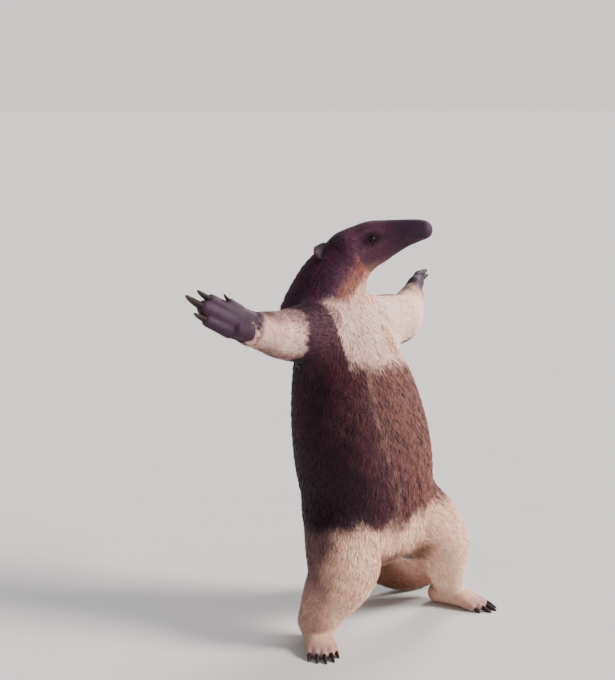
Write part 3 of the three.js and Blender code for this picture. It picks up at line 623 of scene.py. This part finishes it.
def marks(p, kind):
    """Colour of the animal at each point; kind says which tube each point belongs to."""
    rows, z = np.array(TORSO), p[:, 2]
    middle_x, middle_y, width, depth = (np.interp(z, rows[:, 2], rows[:, i]) for i in (0, 1, 3, 4))
    front = (middle_y - p[:, 1]) / depth
    left = (p[:, 0] - middle_x) / width
    wave = ripple(p, 0.05, 1) * 0.010 + ripple(p, 0.014, 2) * 0.003
    ragged = wave + ripple(p, 0.007, 12) * 0.004
    out = mix(CREAM, PALE, rise(z, *CHEST) * rise(front, -0.2, 0.5))
    out = mark_limbs(out, p, kind, wave, ragged)
    out = mark_vest(out, p, kind, front, left, wave, ragged)
    out = mark_neck(out, p, kind, wave)
    out = mark_head(out, p, kind, wave)
    return mark_ends(out, p, kind, ragged)


NAMES = sorted({tube.name for tube in TUBES})
code = {name: i for i, name in enumerate(NAMES)}
LIE_BLEND = 0.007


def survey(p):
    """Which tube each point lies on, its place along and angle round it, the coat's lie and depth there."""
    lie, coat, total = np.zeros((len(p), 3)), np.zeros(len(p)), np.zeros(len(p))
    closest, on_tube = np.full(len(p), 1e9), np.zeros(len(p), int)
    at_place, at_angle = np.zeros(len(p)), np.zeros(len(p))
    for index, tube in enumerate(TUBES):
        near = np.flatnonzero(tube.near(p))
        if not len(near):
            continue
        d, place, angle, axis, depth = tube.measure(p[near], full=True)
        weight = np.exp(-np.clip(d, -0.02, 1) / LIE_BLEND)
        lie[near] += axis * weight[:, None]
        coat[near] += depth * weight
        total[near] += weight
        closer = d < closest[near]
        rows = near[closer]
        closest[rows], on_tube[rows] = d[closer], index
        at_place[rows], at_angle[rows] = place[closer], angle[closer]
    total = np.maximum(total, 1e-12)
    kinds = np.array([code[tube.name] for tube in TUBES])
    return {
        "tube": on_tube, "kind": kinds[on_tube], "place": at_place, "angle": at_angle,
        "lie": lie / total[:, None], "coat": coat / total,
    }


# The face: lids, lips, mouth and nostrils worked into the skin
EYES = {}
for side in SIDES:
    low, high = (np.array(corner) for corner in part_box("eye_" + side))
    EYES[side] = ((low + high) / 2 - SHIFT, float((high - low).max()) / 2)
LIP_RADII = [0.0004, 0.0007, 0.0009, 0.0010, 0.0011, 0.0011, 0.0010, 0.0009, 0.0006]
LID_RADII = [0.0006, 0.0010, 0.0014, 0.0016, 0.0017, 0.0016, 0.0014, 0.0010, 0.0006]
SLIT_RADII = [0.0002] + [0.0006] * 8
NOSTRIL_RADII = [0.0008, 0.0014, 0.0020]
CREASE_RADIUS = 0.0004
LIP_GAP, LIP_SINK, SLIT_SINK = 0.0016, 0.0004, -0.0001
MOUTH_CORNER, MOUTH_LENGTH = 0.112, 0.032
UPPER_LID, LOWER_LID = 0.90, -0.84
ADDED_BLEND, CUT_BLEND = 0.0010, 0.0006


def beside_head(f, u, mirror, sink=0.0):
    """A point on the side of the head, or sunk below it."""
    out = HEAD_FRAME.axes[1] * mirror
    start = HEAD_FRAME.out([f, 0, u])
    steps = np.arange(0, 0.05, 0.0004)
    inside = body(start + steps[:, None] * out) < 0
    return start + out * (steps[np.argmin(inside)] - sink)


def bead(points, radii):
    """A string of tapered rods from point to point."""
    return list(zip(points[:-1], points[1:], radii[:-1], radii[1:]))


def bead_distance(p, segments):
    best = np.full(len(p), 1e9)
    for a, b, ra, rb in segments:
        way = b - a
        t = np.clip((p - a) @ way / (way @ way), 0, 1)
        best = np.minimum(best, length(p - a - t[:, None] * way) - ra - (rb - ra) * t)
    return best


def mouth_line(mirror, lift, sink):
    return [
        beside_head(MOUTH_CORNER + MOUTH_LENGTH * t, -0.0045 - 0.0025 * t + lift, mirror, sink)
        for t in np.linspace(0, 1, 9)
    ]


added, cut = [], []
for side, mirror in (("right", -1), ("left", 1)):
    centre, radius = EYES[side]
    f, s, u = HEAD_FRAME.axes * [[1], [mirror], [1]]
    bow = np.linspace(-1, 1, 9)
    for lift in (UPPER_LID, LOWER_LID):
        lid = [
            centre + f * a * radius * 1.45 + u * lift * radius * (1 - a * a) + s * (0.0028 - 0.0010 * a * a)
            for a in bow
        ]
        added.append(bead(lid, LID_RADII))
    crease = [
        centre + f * a * radius * 1.7 + u * (radius * 0.95 * (1 - a * a) + 0.0031) + s * 0.0029
        for a in bow
    ]
    cut.append(bead(crease, [CREASE_RADIUS] * len(bow)))
    added.append(bead(mouth_line(mirror, LIP_GAP, LIP_SINK), LIP_RADII))
    added.append(bead(mouth_line(mirror, -LIP_GAP, LIP_SINK), LIP_RADII))
    cut.append(bead(mouth_line(mirror, 0, SLIT_SINK), SLIT_RADII))
    nostril = V([0.142, 0.0032, 0.0042], [0.1465, 0.0044, 0.0048], [0.151, 0.0062, 0.0050])
    cut.append(bead(HEAD_FRAME.out(nostril * [1, mirror, 1]), NOSTRIL_RADII))


def face(p):
    """The body with the face's small forms added and cut."""
    d = body(p)
    near = np.flatnonzero(HEAD_FRAME.into(p)[:, 0] > 0.03)
    q, e = p[near], d[near]
    for segments in added:
        e = soft_min(e, bead_distance(q, segments), ADDED_BLEND)
    for segments in cut:
        e = -soft_min(-e, bead_distance(q, segments), CUT_BLEND)
    for centre, radius in EYES.values():
        e = np.maximum(e, radius + 0.0001 - length(q - centre))
    d[near] = e
    return d


# Meshes, colours and pieces
def new_mesh(name, points, loops, sizes):
    mesh = bpy.data.meshes.new(name)
    mesh.vertices.add(len(points))
    mesh.vertices.foreach_set("co", np.ascontiguousarray(points, np.float32).ravel())
    mesh.loops.add(len(loops))
    mesh.loops.foreach_set("vertex_index", np.ascontiguousarray(loops, np.int32))
    mesh.polygons.add(len(sizes))
    starts = np.concatenate([[0], np.cumsum(sizes)[:-1]]).astype(np.int32)
    mesh.polygons.foreach_set("loop_start", starts)
    mesh.polygons.foreach_set("use_smooth", np.ones(len(sizes), bool))
    mesh.update(calc_edges=True)
    return mesh


def paint(mesh, colours):
    layer = mesh.color_attributes.new(name="marking", type="FLOAT_COLOR", domain="POINT")
    rgba = np.concatenate([np.clip(colours, 0, 1), np.ones((len(colours), 1))], 1)
    layer.data.foreach_set("color", rgba.astype(np.float32).ravel())


def piece(mesh, material, nodes=()):
    obj = bpy.data.objects.new(mesh.name, mesh)
    bpy.context.scene.collection.objects.link(obj)
    mesh.materials.append(material)
    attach(obj, "root")
    if nodes:
        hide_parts(*nodes)
    return obj


def add_node(tree, kind, values):
    """A shader node with some of its inputs set."""
    node = tree.nodes.new(kind)
    for name, value in values.items():
        node.inputs[name].default_value = value
    return node


NOISE, MIX_COLOURS, PLACE = "ShaderNodeTexNoise", "ShaderNodeMix", "ShaderNodeTexCoord"
BUMP_DEPTH = 0.0006


def material_of(name, *, roughness, grain, grain_size, bump, bump_size, specular=0.3, sheen=0.0):
    """Painted markings broken up by fine procedural grain, with a fine bump."""
    material = bpy.data.materials.new(name)
    material.use_nodes = True
    tree = material.node_tree
    link = tree.links.new
    shader = tree.nodes["Principled BSDF"]
    shader.inputs["Roughness"].default_value = roughness
    shader.inputs["Specular IOR Level"].default_value = specular
    shader.inputs["Sheen Weight"].default_value = sheen
    shader.inputs["Sheen Roughness"].default_value = 0.45
    where = add_node(tree, PLACE, {})
    marking = add_node(tree, "ShaderNodeAttribute", {})
    marking.attribute_name = "marking"
    noise = add_node(tree, NOISE, {"Scale": grain_size, "Detail": 5})
    limits = {"From Min": 0.3, "From Max": 0.7, "To Min": 1 - grain, "To Max": 1 + grain}
    spread = add_node(tree, "ShaderNodeMapRange", limits)
    tint = tree.nodes.new(MIX_COLOURS)
    tint.data_type = "RGBA"
    tint.blend_type = "MULTIPLY"
    tint.inputs["Factor"].default_value = 1
    fine = add_node(tree, NOISE, {"Scale": bump_size, "Detail": 4})
    relief = add_node(tree, "ShaderNodeBump", {"Strength": bump, "Distance": BUMP_DEPTH})
    link(where.outputs["Object"], noise.inputs["Vector"])
    link(noise.outputs["Fac"], spread.inputs["Value"])
    link(marking.outputs["Color"], tint.inputs["A"])
    link(spread.outputs["Result"], tint.inputs["B"])
    link(tint.outputs["Result"], shader.inputs["Base Color"])
    link(where.outputs["Object"], fine.inputs["Vector"])
    link(fine.outputs["Fac"], relief.inputs["Height"])
    link(relief.outputs["Normal"], shader.inputs["Normal"])
    return material


SKIN = material_of("skin", roughness=0.62, grain=0.16, grain_size=240, bump=0.7, bump_size=900)
COAT = material_of(
    "coat", roughness=0.60, grain=0.16, grain_size=420, bump=0.15, bump_size=1500, specular=0.22, sheen=0.2
)
HORN = material_of("horn", roughness=0.62, grain=0.22, grain_size=160, bump=0.6, bump_size=420, specular=0.15)
EYE = material_of("eye", roughness=0.12, grain=0.25, grain_size=900, bump=0.02, bump_size=1200, specular=0.25)

# The skin
SKIN_CELL = 0.0023
SKIN_MARGIN = 0.006
# The skin's markings are darkened by this share: painted shade under the coat
SKIN_PAINTED_SHADE = 0.8
SKIN_OFF_FLOOR, COAT_OFF_FLOOR = 0.0004, 0.0002
HEAD_HALF = 0.05
low = np.min([tube.rows[:, :3].min(0) - tube.rows[:, 3:5].max() for tube in TUBES], axis=0) - SKIN_MARGIN
high = np.max([tube.rows[:, :3].max(0) + tube.rows[:, 3:5].max() for tube in TUBES], axis=0) + SKIN_MARGIN
points, quads = surface_net(sample(body, low, high, SKIN_CELL), low, SKIN_CELL)
points = settle(body, points, SKIN_CELL * 0.6)


def refine(points, faces, wanted):
    """Splits the faces whose corners are all wanted into four."""
    mesh = new_mesh("rough", points, np.concatenate(faces), [len(face) for face in faces])
    bm = bmesh.new()
    bm.from_mesh(mesh)
    edges = [edge for edge in bm.edges if wanted[edge.verts[0].index] and wanted[edge.verts[1].index]]
    bmesh.ops.subdivide_edges(bm, edges=edges, cuts=1, use_grid_fill=True)
    bm.verts.index_update()
    out = np.array([vert.co for vert in bm.verts])
    faces = [[vert.index for vert in face.verts] for face in bm.faces]
    bm.free()
    bpy.data.meshes.remove(mesh)
    return out, faces


# Finer on the head, and again round the eyes and at the end of the snout
at = HEAD_FRAME.into(points)
points, faces = refine(points, list(quads), (at[:, 0] > 0.028) & (np.abs(at[:, 1:]) < HEAD_HALF).all(1))
at = HEAD_FRAME.into(points)
eye_gap = np.min([length(points - centre) for centre, _ in EYES.values()], axis=0)
snout_end = (at[:, 0] > 0.106) & (np.abs(at[:, 1]) < HEAD_HALF)
points, faces = refine(points, faces, (eye_gap < 0.0125) | snout_end)
on_head = HEAD_FRAME.into(points)[:, 0] > 0.025
points[on_head] = settle(face, points[on_head], 0.0034, rounds=5)
points[:, 2] = np.maximum(points[:, 2], SKIN_OFF_FLOOR)

skin_facts = survey(points)
skin = new_mesh("skin", points + SHIFT, np.concatenate(faces), [len(face) for face in faces])
paint(skin, marks(points, skin_facts["kind"]) * SKIN_PAINTED_SHADE)
claw_names = [
    f"claw_{part}_{side}_{i + 1}"
    for part, digits in (("hand", FINGERS), ("foot", TOES)) for side in SIDES for i in range(len(digits))
]
flesh = ["chest", "abdomen", "neck", "head", "tail_base", "tail_middle", "tail_tip"]
limb_parts = ("upper_arm", "forearm", "thigh", "shank", "hand", "foot")
flesh += [f"{part}_{side}" for side in SIDES for part in limb_parts]
piece(skin, SKIN, flesh)

# An unwrap of the body: each tube is a strip of its own, as long as the tube and as wide as its way round
EAR_WIDTH, EAR_LENGTH = 0.064, 0.046
STRIP_GAP = 0.006
tube_lengths = np.array([tube.along[-1] for tube in TUBES])
strip_sizes = []
for tube in TUBES:
    radius = tube.rows[:, 3:5].mean()
    strip_sizes.append([2 * np.pi * radius, tube.along[-1] + 2 * radius])
strip_sizes = np.array(strip_sizes + [[EAR_WIDTH, EAR_LENGTH]] * 2)


def shelves(sizes):
    """Strips set side by side on shelves, and the scale that makes them fill the unit square."""
    order = np.argsort(-sizes[:, 1])
    for scale in np.arange(2.0, 0.2, -0.02):
        x = y = tallest = 0.0
        spots = np.zeros((len(sizes), 2))
        for i in order:
            wide, tall = sizes[i] * scale + STRIP_GAP
            if x + wide > 1:
                x, y, tallest = 0.0, y + tallest, 0.0
            spots[i] = x, y
            x += wide
            tallest = max(tallest, tall)
        if y + tallest <= 1:
            return spots + STRIP_GAP / 2, scale
    raise ValueError("the strips do not fit")


STRIPS, STRIP_SCALE = shelves(strip_sizes)


def unwrap(facts):
    sizes = strip_sizes[facts["tube"]]
    across = (facts["angle"] / (2 * np.pi) + 0.5) * sizes[:, 0]
    along = facts["place"] + (sizes[:, 1] - tube_lengths[facts["tube"]]) / 2
    return STRIPS[facts["tube"]] + np.stack([across, along], 1) * STRIP_SCALE


# The coat: thin tapered tufts rooted in the skin
PATCH = 0.003
MOST_TUFTS = {
    "coat_tail": 34000, "coat_head": 62000, "coat_chest": 60000, "coat_abdomen": 60000, "coat_neck": 40000,
}
MOST_ON_A_LIMB = 58000
TUFT_FORM = np.array([[-1, 0], [1, 0], [0.8, 0.5], [-0.8, 0.5], [0, 1]])
TUFT_SHADES = np.array([0.66, 0.66, 0.98, 0.98, 1.14])
TUFT_LOOPS = [0, 1, 2, 3, 3, 2, 4]
ROOT_DEPTH = 0.0004
ROOT_LEAN, TIP_LEAN = 1.35, 0.62
MIDDLE_WIDTH = 0.8
SKIN_SHARE = 0.62
TURN_SPREAD, TWIST_SPREAD, BRIGHT_SPREAD, WARM_SPREAD = 0.16, 0.5, 0.20, 0.03


def grow(name, roots, normal, lie, depth, long, width, colours, place):
    """A piece of coat from its tufts' roots."""
    count = len(roots)
    lie = lie - (lie * normal).sum(1)[:, None] * normal
    lie /= length(lie)[:, None] + 1e-9
    swirl = 0.22 * ripple(roots, 0.030, 8) + 0.12 * ripple(roots, 0.009, 9)
    turn = random.normal(0, TURN_SPREAD, count) + swirl
    lie = lie * np.cos(turn)[:, None] + np.cross(normal, lie) * np.sin(turn)[:, None]
    side = np.cross(normal, lie)
    lean = np.arcsin(np.clip(depth * random.uniform(0.55, 1.0, count) / long, 0, 0.8))
    steps = []
    for angle in (lean * ROOT_LEAN, lean * TIP_LEAN):
        way = lie * np.cos(angle)[:, None] + normal * np.sin(angle)[:, None]
        steps.append(way * (long * 0.5)[:, None])
    twist = random.normal(0, TWIST_SPREAD, count)
    across = side * np.cos(twist)[:, None] + normal * np.sin(twist)[:, None]
    across *= -(width / 2)[:, None]
    base = roots - normal * ROOT_DEPTH
    middle = base + steps[0]
    narrow = across * MIDDLE_WIDTH
    tuft = np.stack([base - across, base + across, middle + narrow, middle - narrow, middle + steps[1]], 1)
    tuft[:, :, 2] = np.maximum(tuft[:, :, 2], COAT_OFF_FLOOR)
    loops = (np.arange(count)[:, None] * len(TUFT_FORM) + [TUFT_LOOPS]).ravel()
    mesh = new_mesh(name, (tuft + SHIFT).reshape(-1, 3), loops, np.tile([4, 3], count))
    blade = np.cross(across, steps[0])
    blade /= length(blade)[:, None] + 1e-12
    blade *= np.sign((blade * normal).sum(1))[:, None]
    shown = normal * SKIN_SHARE + blade * (1 - SKIN_SHARE)
    shown /= length(shown)[:, None]
    mesh.normals_split_custom_set_from_vertices(np.repeat(shown, len(TUFT_FORM), 0))
    bright = np.exp(random.normal(0, BRIGHT_SPREAD, count)) * (1 + 0.13 * ripple(roots, 0.012, 10))
    warm = 1 + random.normal(0, WARM_SPREAD, (count, 3))
    shade = colours[:, None] * (bright[:, None] * TUFT_SHADES)[:, :, None] * warm[:, None]
    paint(mesh, shade.reshape(-1, 3))
    layer = mesh.uv_layers.new(name="OFBake")
    spot = place[:, None] + TUFT_FORM * [PATCH / 2, PATCH] - [0, PATCH / 2]
    layer.data.foreach_set("uv", spot[:, TUFT_LOOPS].astype(np.float32).ravel())
    return piece(mesh, COAT)


tris = np.array([(f[0], f[i], f[i + 1]) for f in faces for i in range(1, len(f) - 1)])
corner = points[tris]
face_normal = np.cross(corner[:, 1] - corner[:, 0], corner[:, 2] - corner[:, 0])
area = length(face_normal) / 2
normals = np.zeros_like(points)
for k in range(3):
    np.add.at(normals, tris[:, k], face_normal)
normals /= length(normals)[:, None] + 1e-12

# Length, width and density of the fur over the skin: none at the eyes, lips, nose, palms and soles
coat_depth = skin_facts["coat"]
long_at = np.clip(coat_depth * 2.7, 0.0018, 0.013)
width_at = np.clip(long_at * 0.085, 0.00032, 0.0011)
kind_names = np.array(NAMES)[skin_facts["kind"]]
furred = 1 - (kind_names == "head") * rise(HEAD_FRAME.into(points)[:, 0], 0.134, 0.142)
for centre, radius in EYES.values():
    furred *= rise(length(points - centre), radius * 1.35, radius * 1.9)
lips = np.minimum(*[bead_distance(points, bead(mouth_line(m, 0, 0), [0.0] * 9)) for m in (1, -1)])
furred *= rise(lips, 0.0016, 0.0036)
for side in SIDES:
    hand, foot = HAND_FRAME[side].into(points), FOOT_FRAME[side].into(points)
    near_hand = length(hand) < 0.12
    palm_side = rise(-hand[:, 2], -0.002, 0.006)
    furred *= 1 - near_hand * rise(hand[:, 0], -0.012, 0.006) * palm_side
    furred *= 1 - near_hand * rise(hand[:, 0], 0.020, 0.052) * 0.75
    near_foot = length(foot) < 0.09
    furred *= 1 - near_foot * rise(foot[:, 0], 0.038, 0.056) * 0.8
    furred *= rise(points[:, 2], 0.002, 0.006) * near_foot + (1 - near_foot)
furred *= 1 - (kind_names == "tail") * rise(points[:, 1], 0.13, 0.21) * 0.72
COVER = 4.6
density = furred * COVER / (0.6 * long_at * width_at)

CHEST_FOOT = 0.30
torso, upper = kind_names == "torso", points[:, 2] > CHEST_FOOT
GROUPS = {
    "coat_chest": (torso & upper, "dark_coat"),
    "coat_abdomen": (torso & ~upper, "dark_coat"),
    "coat_neck": (kind_names == "neck", "head_coat"),
    "coat_head": (kind_names == "head", "head_coat"),
    "coat_tail": (kind_names == "tail", "tail_coat"),
}
for side in SIDES:
    for limb_name, parts in (("arm", ("arm", "palm", "pad", "finger")), ("leg", ("leg", "sole", "toe"))):
        members = np.isin(kind_names, [f"{part}_{side}" for part in parts])
        GROUPS[f"coat_{limb_name}_{side}"] = (members, "pale_coat")

tri_density = density[tris].mean(1) * area
for name, (members, slot) in GROUPS.items():
    mine = np.flatnonzero(members[tris[:, 0]])
    weight = tri_density[mine]
    count = int(min(weight.sum(), MOST_TUFTS.get(name, MOST_ON_A_LIMB)))
    chosen = mine[random.choice(len(mine), count, p=weight / weight.sum())]
    bary = random.dirichlet([1, 1, 1], count)

    def spread(values):
        return (values[tris[chosen]] * (bary[:, :, None] if values.ndim > 1 else bary)).sum(1)

    roots = spread(points)
    facts = survey(roots)
    normal = spread(normals)
    normal /= length(normal)[:, None]
    vary = random.uniform(0.72, 1.12, count)
    grow(name, roots, normal, facts["lie"], spread(coat_depth), spread(long_at) * vary, spread(width_at),
         marks(roots, facts["kind"]), unwrap(facts))

# Ears: cupped leaves, as stations in the head's frame: x, y, z, half width, depth of the cup, thickness
EAR = [
    [0.014, 0.022, 0.000, 0.008, 0.003, 0.009],
    [0.0095, 0.028, 0.0035, 0.011, 0.005, 0.0065],
    [0.003, 0.033, 0.007, 0.0135, 0.0065, 0.0036],
    [-0.004, 0.037, 0.0105, 0.0145, 0.007, 0.003],
    [-0.010, 0.0405, 0.0135, 0.013, 0.006, 0.0028],
    [-0.015, 0.043, 0.016, 0.009, 0.0036, 0.0026],
    [-0.018, 0.0445, 0.0175, 0.0045, 0.0012, 0.0024],
]
EAR_SKIN = colour(40, 24, 34)


def sides_of(ids):
    """The quads between one ring of points and the next."""
    turned = np.roll(ids, -1, 1)
    return np.stack([ids[:-1], turned[:-1], turned[1:], ids[1:]], -1).reshape(-1, 4)


EAR_TUFTS = 3500
EAR_ACROSS = 15
EAR_FACING = V(0.78, 0.42, 0.10)
EAR_FUR = 0.0009
OUTER_SHARE = 0.72
for side, mirror in (("right", -1), ("left", 1)):
    rows = spline(EAR, 6)
    centres = HEAD_FRAME.out(rows[:, :3] * [1, mirror, 1])
    along = np.gradient(centres, axis=0)
    along /= length(along)[:, None]
    facing = EAR_FACING * [1, mirror, 1] @ HEAD_FRAME.axes
    a = np.linspace(-1, 1, EAR_ACROSS)
    rings, shades, outs = [], [], []
    for centre, way, (_, _, _, wide, deep, thick) in zip(centres, along, rows):
        front = unit(facing - (facing @ way) * way)
        edge = np.cross(way, front)
        back = deep * (1 - a * a)
        half = (thick - 0.0006) * (0.5 - 0.28 * np.abs(a))
        inner = centre + np.outer(a * (wide - 0.0004), edge) + np.outer(half - back, front)
        outer = centre + np.outer(a * (wide - 0.0004), edge) + np.outer(-half - back, front)
        rings.append(np.vstack([inner, outer[::-1]]))
        shades.append(np.repeat([EAR_SKIN, NAPE], EAR_ACROSS, 0))
        outs.append(np.repeat([front, -front], EAR_ACROSS, 0))
    rings = np.array(rings)
    n_rings, n_round = rings.shape[:2]
    ids = np.arange(n_rings * n_round).reshape(n_rings, n_round)
    quads = sides_of(ids)
    flat = rings.reshape(-1, 3)
    q = flat[quads]
    if (q[:, 0] * np.cross(q[:, 1], q[:, 2])).sum() < 0:
        quads = quads[:, ::-1]
    loops = np.concatenate([quads.ravel(), ids[0], ids[-1]])
    mesh = new_mesh("ear_skin_" + side, flat + SHIFT, loops, [4] * len(quads) + [n_round] * 2)
    paint(mesh, np.vstack(shades))
    piece(mesh, SKIN, ["ear_" + side])

    # Its fur: denser and longer on the outer side
    ring = random.uniform(0.5, n_rings - 1.01, EAR_TUFTS)
    turn = random.uniform(0, n_round, EAR_TUFTS)
    on_back = random.random(EAR_TUFTS) < OUTER_SHARE
    turn = np.where(on_back, EAR_ACROSS + turn / 2, turn / 2) % n_round
    i, j = ring.astype(int), turn.astype(int)
    s, t = (ring - i)[:, None], (turn - j)[:, None]
    after = (j + 1) % n_round
    lower = rings[i, j] * (1 - t) + rings[i, after] * t
    upper = rings[i + 1, j] * (1 - t) + rings[i + 1, after] * t
    long = random.uniform(0.0022, 0.0042, EAR_TUFTS) * np.where(on_back, 1, 0.7)
    spot = np.stack([turn / n_round * EAR_WIDTH, ring / n_rings * EAR_LENGTH], 1)
    grow("coat_ear_" + side, lower * (1 - s) + upper * s, np.array(outs)[i, j], along[i],
         np.full(EAR_TUFTS, EAR_FUR), long, long * 0.10, np.tile(NAPE, (EAR_TUFTS, 1)),
         STRIPS[len(TUBES) + (mirror > 0)] + spot * STRIP_SCALE)

# Claws: curved tapering horns in the tips of the digits
CLAW_SIDES, CLAW_RINGS = 12, 14
CLAW_SEAT, CLAW_THICK, CLAW_NARROW, CLAW_RIDGE = 0.2, 0.70, 0.72, 0.03
HAND_BEND, FOOT_BEND = 0.5, 0.35
CLAW_DARK, CLAW_PALE = colour(32, 22, 28), colour(70, 56, 54)
claw_points, claw_faces, claw_shades = [], [], []
for places, digits, bend in ((HAND_FRAME, FINGERS, HAND_BEND), (FOOT_FRAME, TOES, FOOT_BEND)):
    for side in SIDES:
        at = places[side]
        for root, tip, radii, claw in digits:
            seat = Frame(at.out(tip), at.out(tip) - at.out(root), at.axes[2])
            long, radius = claw + radii[1] * (1 + CLAW_SEAT), radii[1] * CLAW_THICK
            offset = sum(len(block) for block in claw_points)
            t = (np.arange(CLAW_RINGS) / CLAW_RINGS)[:, None]
            angle = bend * t
            run = -radii[1] * CLAW_SEAT + long / bend * np.sin(angle)
            drop = long / bend * (1 - np.cos(angle))
            r = radius * np.sqrt(1 - t ** 1.6)
            turn = np.linspace(0, 2 * np.pi, CLAW_SIDES, endpoint=False)[None]
            up = r * np.sin(turn)
            across = CLAW_NARROW * r * np.cos(turn) * (1 + CLAW_RIDGE * np.cos(turn * 4))
            block = np.stack([run + up * np.sin(angle), across, -drop + up * np.cos(angle)], -1)
            end = [-radii[1] * CLAW_SEAT + long / bend * np.sin(bend), 0, -long / bend * (1 - np.cos(bend))]
            block = seat.out(np.vstack([block.reshape(-1, 3), end]))
            block[:, 2] = np.maximum(block[:, 2], 0)
            ids = offset + np.arange(CLAW_RINGS * CLAW_SIDES).reshape(CLAW_RINGS, CLAW_SIDES)
            last = offset + CLAW_RINGS * CLAW_SIDES
            tips = [[a, b, last] for a, b in zip(ids[-1], np.roll(ids[-1], -1))]
            claw_faces += [*sides_of(ids).tolist(), *tips, ids[0][::-1].tolist()]
            claw_points.append(block)
            paler = np.append(np.repeat(t, CLAW_SIDES), 1.0) ** 1.5
            claw_shades.append(mix(CLAW_DARK, CLAW_PALE, paler))
claw_sizes = [len(f) for f in claw_faces]
mesh = new_mesh("claws", np.vstack(claw_points) + SHIFT, np.concatenate(claw_faces), claw_sizes)
paint(mesh, np.vstack(claw_shades))
piece(mesh, HORN, claw_names)

# Eyes
IRIS, PUPIL, WHITE = colour(26, 14, 12), colour(4, 3, 3), colour(18, 12, 12)
for side, mirror in (("right", -1), ("left", 1)):
    centre, radius = EYES[side]
    bm = bmesh.new()
    bmesh.ops.create_uvsphere(bm, u_segments=40, v_segments=24, radius=radius)
    mesh = bpy.data.meshes.new("eye_ball_" + side)
    bm.to_mesh(mesh)
    bm.free()
    local_points = np.array([vert.co for vert in mesh.vertices])
    outward = local_points @ (HEAD_FRAME.axes[1] * mirror) / radius
    fleck = rise(ripple(local_points, 0.0016, 11), -0.4, 0.6)
    shade = mix(WHITE, IRIS, rise(outward, 0.35, 0.5))
    shade *= (0.8 + 0.4 * fleck)[:, None]
    shade = mix(shade, PUPIL, rise(outward, 0.78, 0.86))
    mesh.transform(Matrix.Translation(Vector(centre + SHIFT)))
    mesh.polygons.foreach_set("use_smooth", np.ones(len(mesh.polygons), bool))
    paint(mesh, shade)
    piece(mesh, EYE, ["eye_" + side])

# Floor, light and camera
FLOOR_SIZE, FLOOR_DROP, FLOOR_GRAIN = 300, 0.0005, 3
FLOOR_DARK, FLOOR_LIGHT = (0.66, 0.655, 0.64, 1), (0.69, 0.685, 0.67, 1)
FLOOR = bpy.data.materials.new("floor")
FLOOR.use_nodes = True
floor_links = FLOOR.node_tree.links
floor_shader = FLOOR.node_tree.nodes["Principled BSDF"]
floor_shader.inputs["Roughness"].default_value = 0.9
floor_shader.inputs["Specular IOR Level"].default_value = 0
floor_where = add_node(FLOOR.node_tree, PLACE, {})
floor_noise = add_node(FLOOR.node_tree, NOISE, {"Scale": FLOOR_GRAIN})
floor_ramp = add_node(FLOOR.node_tree, "ShaderNodeValToRGB", {})
floor_ramp.color_ramp.elements[0].color = FLOOR_DARK
floor_ramp.color_ramp.elements[1].color = FLOOR_LIGHT
floor_links.new(floor_where.outputs["Object"], floor_noise.inputs["Vector"])
floor_links.new(floor_noise.outputs["Fac"], floor_ramp.inputs["Fac"])
floor_links.new(floor_ramp.outputs["Color"], floor_shader.inputs["Base Color"])
bpy.ops.mesh.primitive_plane_add(size=FLOOR_SIZE, location=(0, 0, -FLOOR_DROP))
floor = bpy.context.object
floor.name = "floor"
floor.data.materials.append(FLOOR)

AZIMUTH = np.radians(-38.0)
RIGHT = V(np.cos(AZIMUTH), np.sin(AZIMUTH), 0)
AWAY = V(-np.sin(AZIMUTH), np.cos(AZIMUTH), 0)
CAMERA_BACK, CAMERA_ASIDE, CAMERA_HEIGHT = 2.060, 0.1093, 0.770
CAMERA_DOWN, CAMERA_LENS, CAMERA_SENSOR = 9.33, 75.7, 36
camera_data = bpy.data.cameras.new("camera")
camera_data.lens = CAMERA_LENS
camera_data.sensor_width = CAMERA_SENSOR
camera = bpy.data.objects.new("camera", camera_data)
camera.location = -AWAY * CAMERA_BACK - RIGHT * CAMERA_ASIDE + UP * CAMERA_HEIGHT + SHIFT
camera.rotation_euler = (np.radians(90 - CAMERA_DOWN), 0, AZIMUTH)
bpy.context.scene.collection.objects.link(camera)
bpy.context.scene.camera = camera

LIGHT_WIDTH = np.radians(20)
LIGHTS = [
    # name, way from the animal, strength, colour
    ("key", RIGHT * 0.92 - AWAY * 0.16 + UP * 0.56, 6.2, (1.0, 0.95, 0.90)),
    ("rim", RIGHT * 0.45 + AWAY * 0.80 + UP * 0.60, 2.6, (1.0, 0.97, 0.95)),
]
for name, way, strength, tint in LIGHTS:
    data = bpy.data.lights.new(name, "SUN")
    data.energy, data.color, data.angle = strength, tint, LIGHT_WIDTH
    light = bpy.data.objects.new(name, data)
    light.rotation_euler = Vector(-way).to_track_quat("-Z", "Y").to_euler()
    bpy.context.scene.collection.objects.link(light)
world = bpy.data.worlds.new("world")
bpy.context.scene.world = world
world.use_nodes = True
# The background is as bright as the floor at the horizon and dimmer overhead.
HORIZON, OVERHEAD = (1.14, 1.08, 1.03, 1), (0.36, 0.35, 0.38, 1)
FADE_FROM, FADE_TO = 0.08, 0.35
sky, sky_links = world.node_tree, world.node_tree.links
sky_way = add_node(sky, PLACE, {})
sky_height = add_node(sky, "ShaderNodeSeparateXYZ", {})
sky_fade = add_node(sky, "ShaderNodeMapRange", {"From Min": FADE_FROM, "From Max": FADE_TO})
sky_mix = add_node(sky, MIX_COLOURS, {})
sky_mix.data_type = "RGBA"
sky_mix.inputs["A"].default_value = HORIZON
sky_mix.inputs["B"].default_value = OVERHEAD
sky_links.new(sky_way.outputs["Generated"], sky_height.inputs["Vector"])
sky_links.new(sky_height.outputs["Z"], sky_fade.inputs["Value"])
sky_links.new(sky_fade.outputs["Result"], sky_mix.inputs["Factor"])
sky_links.new(sky_mix.outputs["Result"], sky.nodes["Background"].inputs["Color"])
